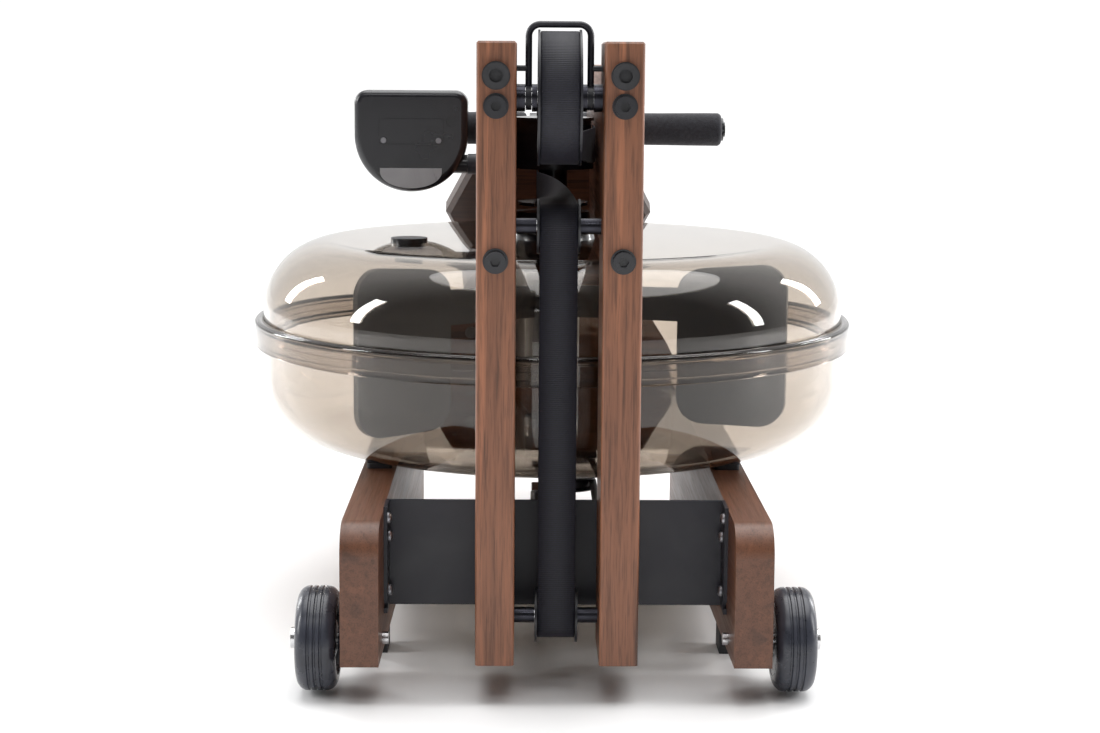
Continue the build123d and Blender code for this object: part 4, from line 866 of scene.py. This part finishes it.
# ---------------------------------------------------------------- foot straps
lean = radians(40)
foot_up = Vector((0, -sin(lean), cos(lean)))
foot_out = Vector((0, cos(lean), sin(lean)))
strap_reach, strap_rise = 45 * MM, 61 * MM
strap_lift = 0.4 * MM
foot_spread = 58 * MM
foot_strap_y = -10 * MM
foot_origin = Vector((0, -285 * MM, 342 * MM))
foot_base = foot_origin + foot_up * foot_strap_y


def strap_arch(sign, steps=48):
    """Stations over one foot, from one side of it to the other."""
    found = []
    for i in range(steps + 1):
        angle = pi * i / steps
        sideways = across * (sign * foot_spread + strap_reach * cos(angle))
        point = foot_base + sideways + foot_out * (strap_rise * sin(angle))
        face = (across * (cos(angle) / strap_reach) + foot_out * (sin(angle) / strap_rise)).normalized()
        found.append((point + foot_out * strap_lift, foot_up, face))
    return found


for side, sign in (("left", -1), ("right", 1)):
    loop_strap = ribbon("foot_strap_" + side, strap_arch(sign), 38 * MM, 2 * MM, strap_weave)
    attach(loop_strap, "root")
    if side == "left":
        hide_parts("foot_straps")

# ---------------------------------------------------------------- monitor label and display
case_mid = center("monitor_front").x
case_back = low("monitor_back").y
label_half = 33 * MM
label_top = low("monitor_back").z + 25.5 * MM
label_low = low("monitor_back").z + 4 * MM
label_side = 4 * MM
label_steps = 24
label_outline = [(-label_half, label_top), (label_half, label_top)]
for i in range(label_steps + 1):
    angle = pi * i / label_steps
    drop = (label_top - label_side - label_low) * sin(angle)
    label_outline.append((label_half * cos(angle), label_top - label_side - drop))
label = slab("plain_sticker", label_outline, 0.35 * MM,
             lambda a, b, c: Vector((case_mid + a, case_back + 0.1 * MM - c, b)), label_grey)
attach(label, "monitor")

screen_y = low("monitor_lens").y - 0.6 * MM
screen_mid = center("monitor_lens")
screen_margin = 1.5 * MM
screen_half_x = (high("monitor_lens").x - low("monitor_lens").x) / 2 + screen_margin
screen_half_z = (high("monitor_lens").z - low("monitor_lens").z) / 2 + screen_margin
screen = slab("display_glass", rounded_outline(screen_half_x, screen_half_z, 4 * MM), 1.0 * MM,
              lambda a, b, c: Vector((screen_mid.x + a, screen_y - c, screen_mid.z + b)), display_grey)
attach(screen, "monitor")


def digit_places():
    """Middles of the display's four digits, in two pairs."""
    pitch, pair_gap, first = 17 * MM, 5 * MM, 33 * MM
    return [screen_mid.x + first - column * pitch - (pair_gap if column > 1 else 0) for column in range(4)]


def blank_display():
    """Four zeros, each made of the six outer bars."""
    bar_long, bar_thin, bar_gap = 9 * MM, 1.8 * MM, 0.6 * MM
    digit_z = screen_mid.z + 3 * MM
    near_y, far_y = screen_y + 0.12 * MM, screen_y + 0.02 * MM
    lying = (bar_long / 2 - bar_gap, bar_thin / 2)
    upright = (bar_thin / 2, bar_long / 2 - bar_gap)
    bars = [(0, 1, lying), (0, -1, lying), (-0.5, 0.5, upright), (0.5, 0.5, upright), (-0.5, -0.5, upright),
            (0.5, -0.5, upright)]
    corners = [(-1, -1), (1, -1), (1, 1), (-1, 1)]
    builder = bmesh.new()
    for digit_x in digit_places():
        for a, b, half in bars:
            outline = [(digit_x + a * bar_long + i * half[0], digit_z + b * bar_long + j * half[1])
                       for i, j in corners]
            front_face = [builder.verts.new((x, near_y, z)) for x, z in outline]
            back_face = [builder.verts.new((x, far_y, z)) for x, z in outline]
            builder.faces.new(front_face)
            builder.faces.new(back_face[::-1])
            for i in range(4):
                j = (i + 1) % 4
                builder.faces.new((front_face[i], back_face[i], back_face[j], front_face[j]))
    return finish_piece(builder, "display_segments", segment_black, False)


segments = blank_display()
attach(segments, "monitor")

# ---------------------------------------------------------------- floor, light and camera
bpy.ops.mesh.primitive_plane_add(size=40, location=(0, 0, 0))
floor = bpy.context.object
floor.name = "floor"
floor_material = new_material("pale_floor", (0.86, 0.86, 0.86), 0.6)
floor.data.materials.append(floor_material)

# The studio is bright behind the object and dim in front of it.
world = bpy.data.worlds.new("studio")
world.use_nodes = True
direction = world.node_tree.nodes.new("ShaderNodeTexCoord")
split = world.node_tree.nodes.new("ShaderNodeSeparateXYZ")
fade = world.node_tree.nodes.new("ShaderNodeMapRange")
fade.inputs["From Min"].default_value = -0.25
fade.inputs["From Max"].default_value = 0.35
fade.inputs["To Min"].default_value = 0.17
fade.inputs["To Max"].default_value = 1.06
backdrop = world.node_tree.nodes["Background"]
world.node_tree.links.new(direction.outputs["Generated"], split.inputs["Vector"])
world.node_tree.links.new(split.outputs["Y"], fade.inputs["Value"])
world.node_tree.links.new(fade.outputs["Result"], backdrop.inputs["Strength"])
backdrop.inputs["Color"].default_value = (*grey(1.0), 1)
bpy.context.scene.world = world


def area_light(name, place_at, aim, size, power):
    data = bpy.data.lights.new(name, "AREA")
    data.shape = "RECTANGLE"
    data.size, data.size_y = size
    data.energy = power
    lamp = bpy.data.objects.new(name, data)
    bpy.context.scene.collection.objects.link(lamp)
    lamp.location = place_at
    lamp.rotation_euler = (Vector(aim) - Vector(place_at)).to_track_quat("-Z", "Y").to_euler()


subject = (0, -0.7, 0.25)
area_light("side_left", (-3.4, -1.3, 1.6), subject, (0.32, 1.9), 62)
area_light("side_right", (3.4, -1.1, 1.5), subject, (0.32, 1.9), 56)
area_light("rim_left", (-2.8, 1.3, 1.4), subject, (0.3, 1.6), 44)
area_light("rim_right", (2.8, 1.3, 1.4), subject, (0.3, 1.6), 44)
area_light("front_high", (-0.5, -3.4, 3.2), subject, (2.2, 0.6), 17)
sun_data = bpy.data.lights.new("overhead", "SUN")
sun_data.energy = 2.6
sun_data.angle = radians(60)
sun = bpy.data.objects.new("overhead", sun_data)
bpy.context.scene.collection.objects.link(sun)
sun.rotation_euler = (radians(-8), radians(6), 0)

SENSOR = 36.0
LENS = 64.1127
SHIFT_UP = -0.0595455
PITCH = 7.0
YAW = -0.758
ROLL = 0.405
camera_data = bpy.data.cameras.new("camera")
camera_data.sensor_width = SENSOR
camera_data.lens = LENS
camera_data.shift_y = SHIFT_UP
camera = bpy.data.objects.new("camera", camera_data)
bpy.context.scene.collection.objects.link(camera)
turned = (Matrix.Rotation(radians(YAW), 3, "Z") @ Matrix.Rotation(radians(90 - PITCH), 3, "X")
          @ Matrix.Rotation(radians(ROLL), 3, "Z"))
camera.rotation_euler = turned.to_euler()
camera.location = (-0.0267, -2.5338, 0.5041)
bpy.context.scene.camera = camera
bpy.context.scene.view_settings.view_transform = "Standard"
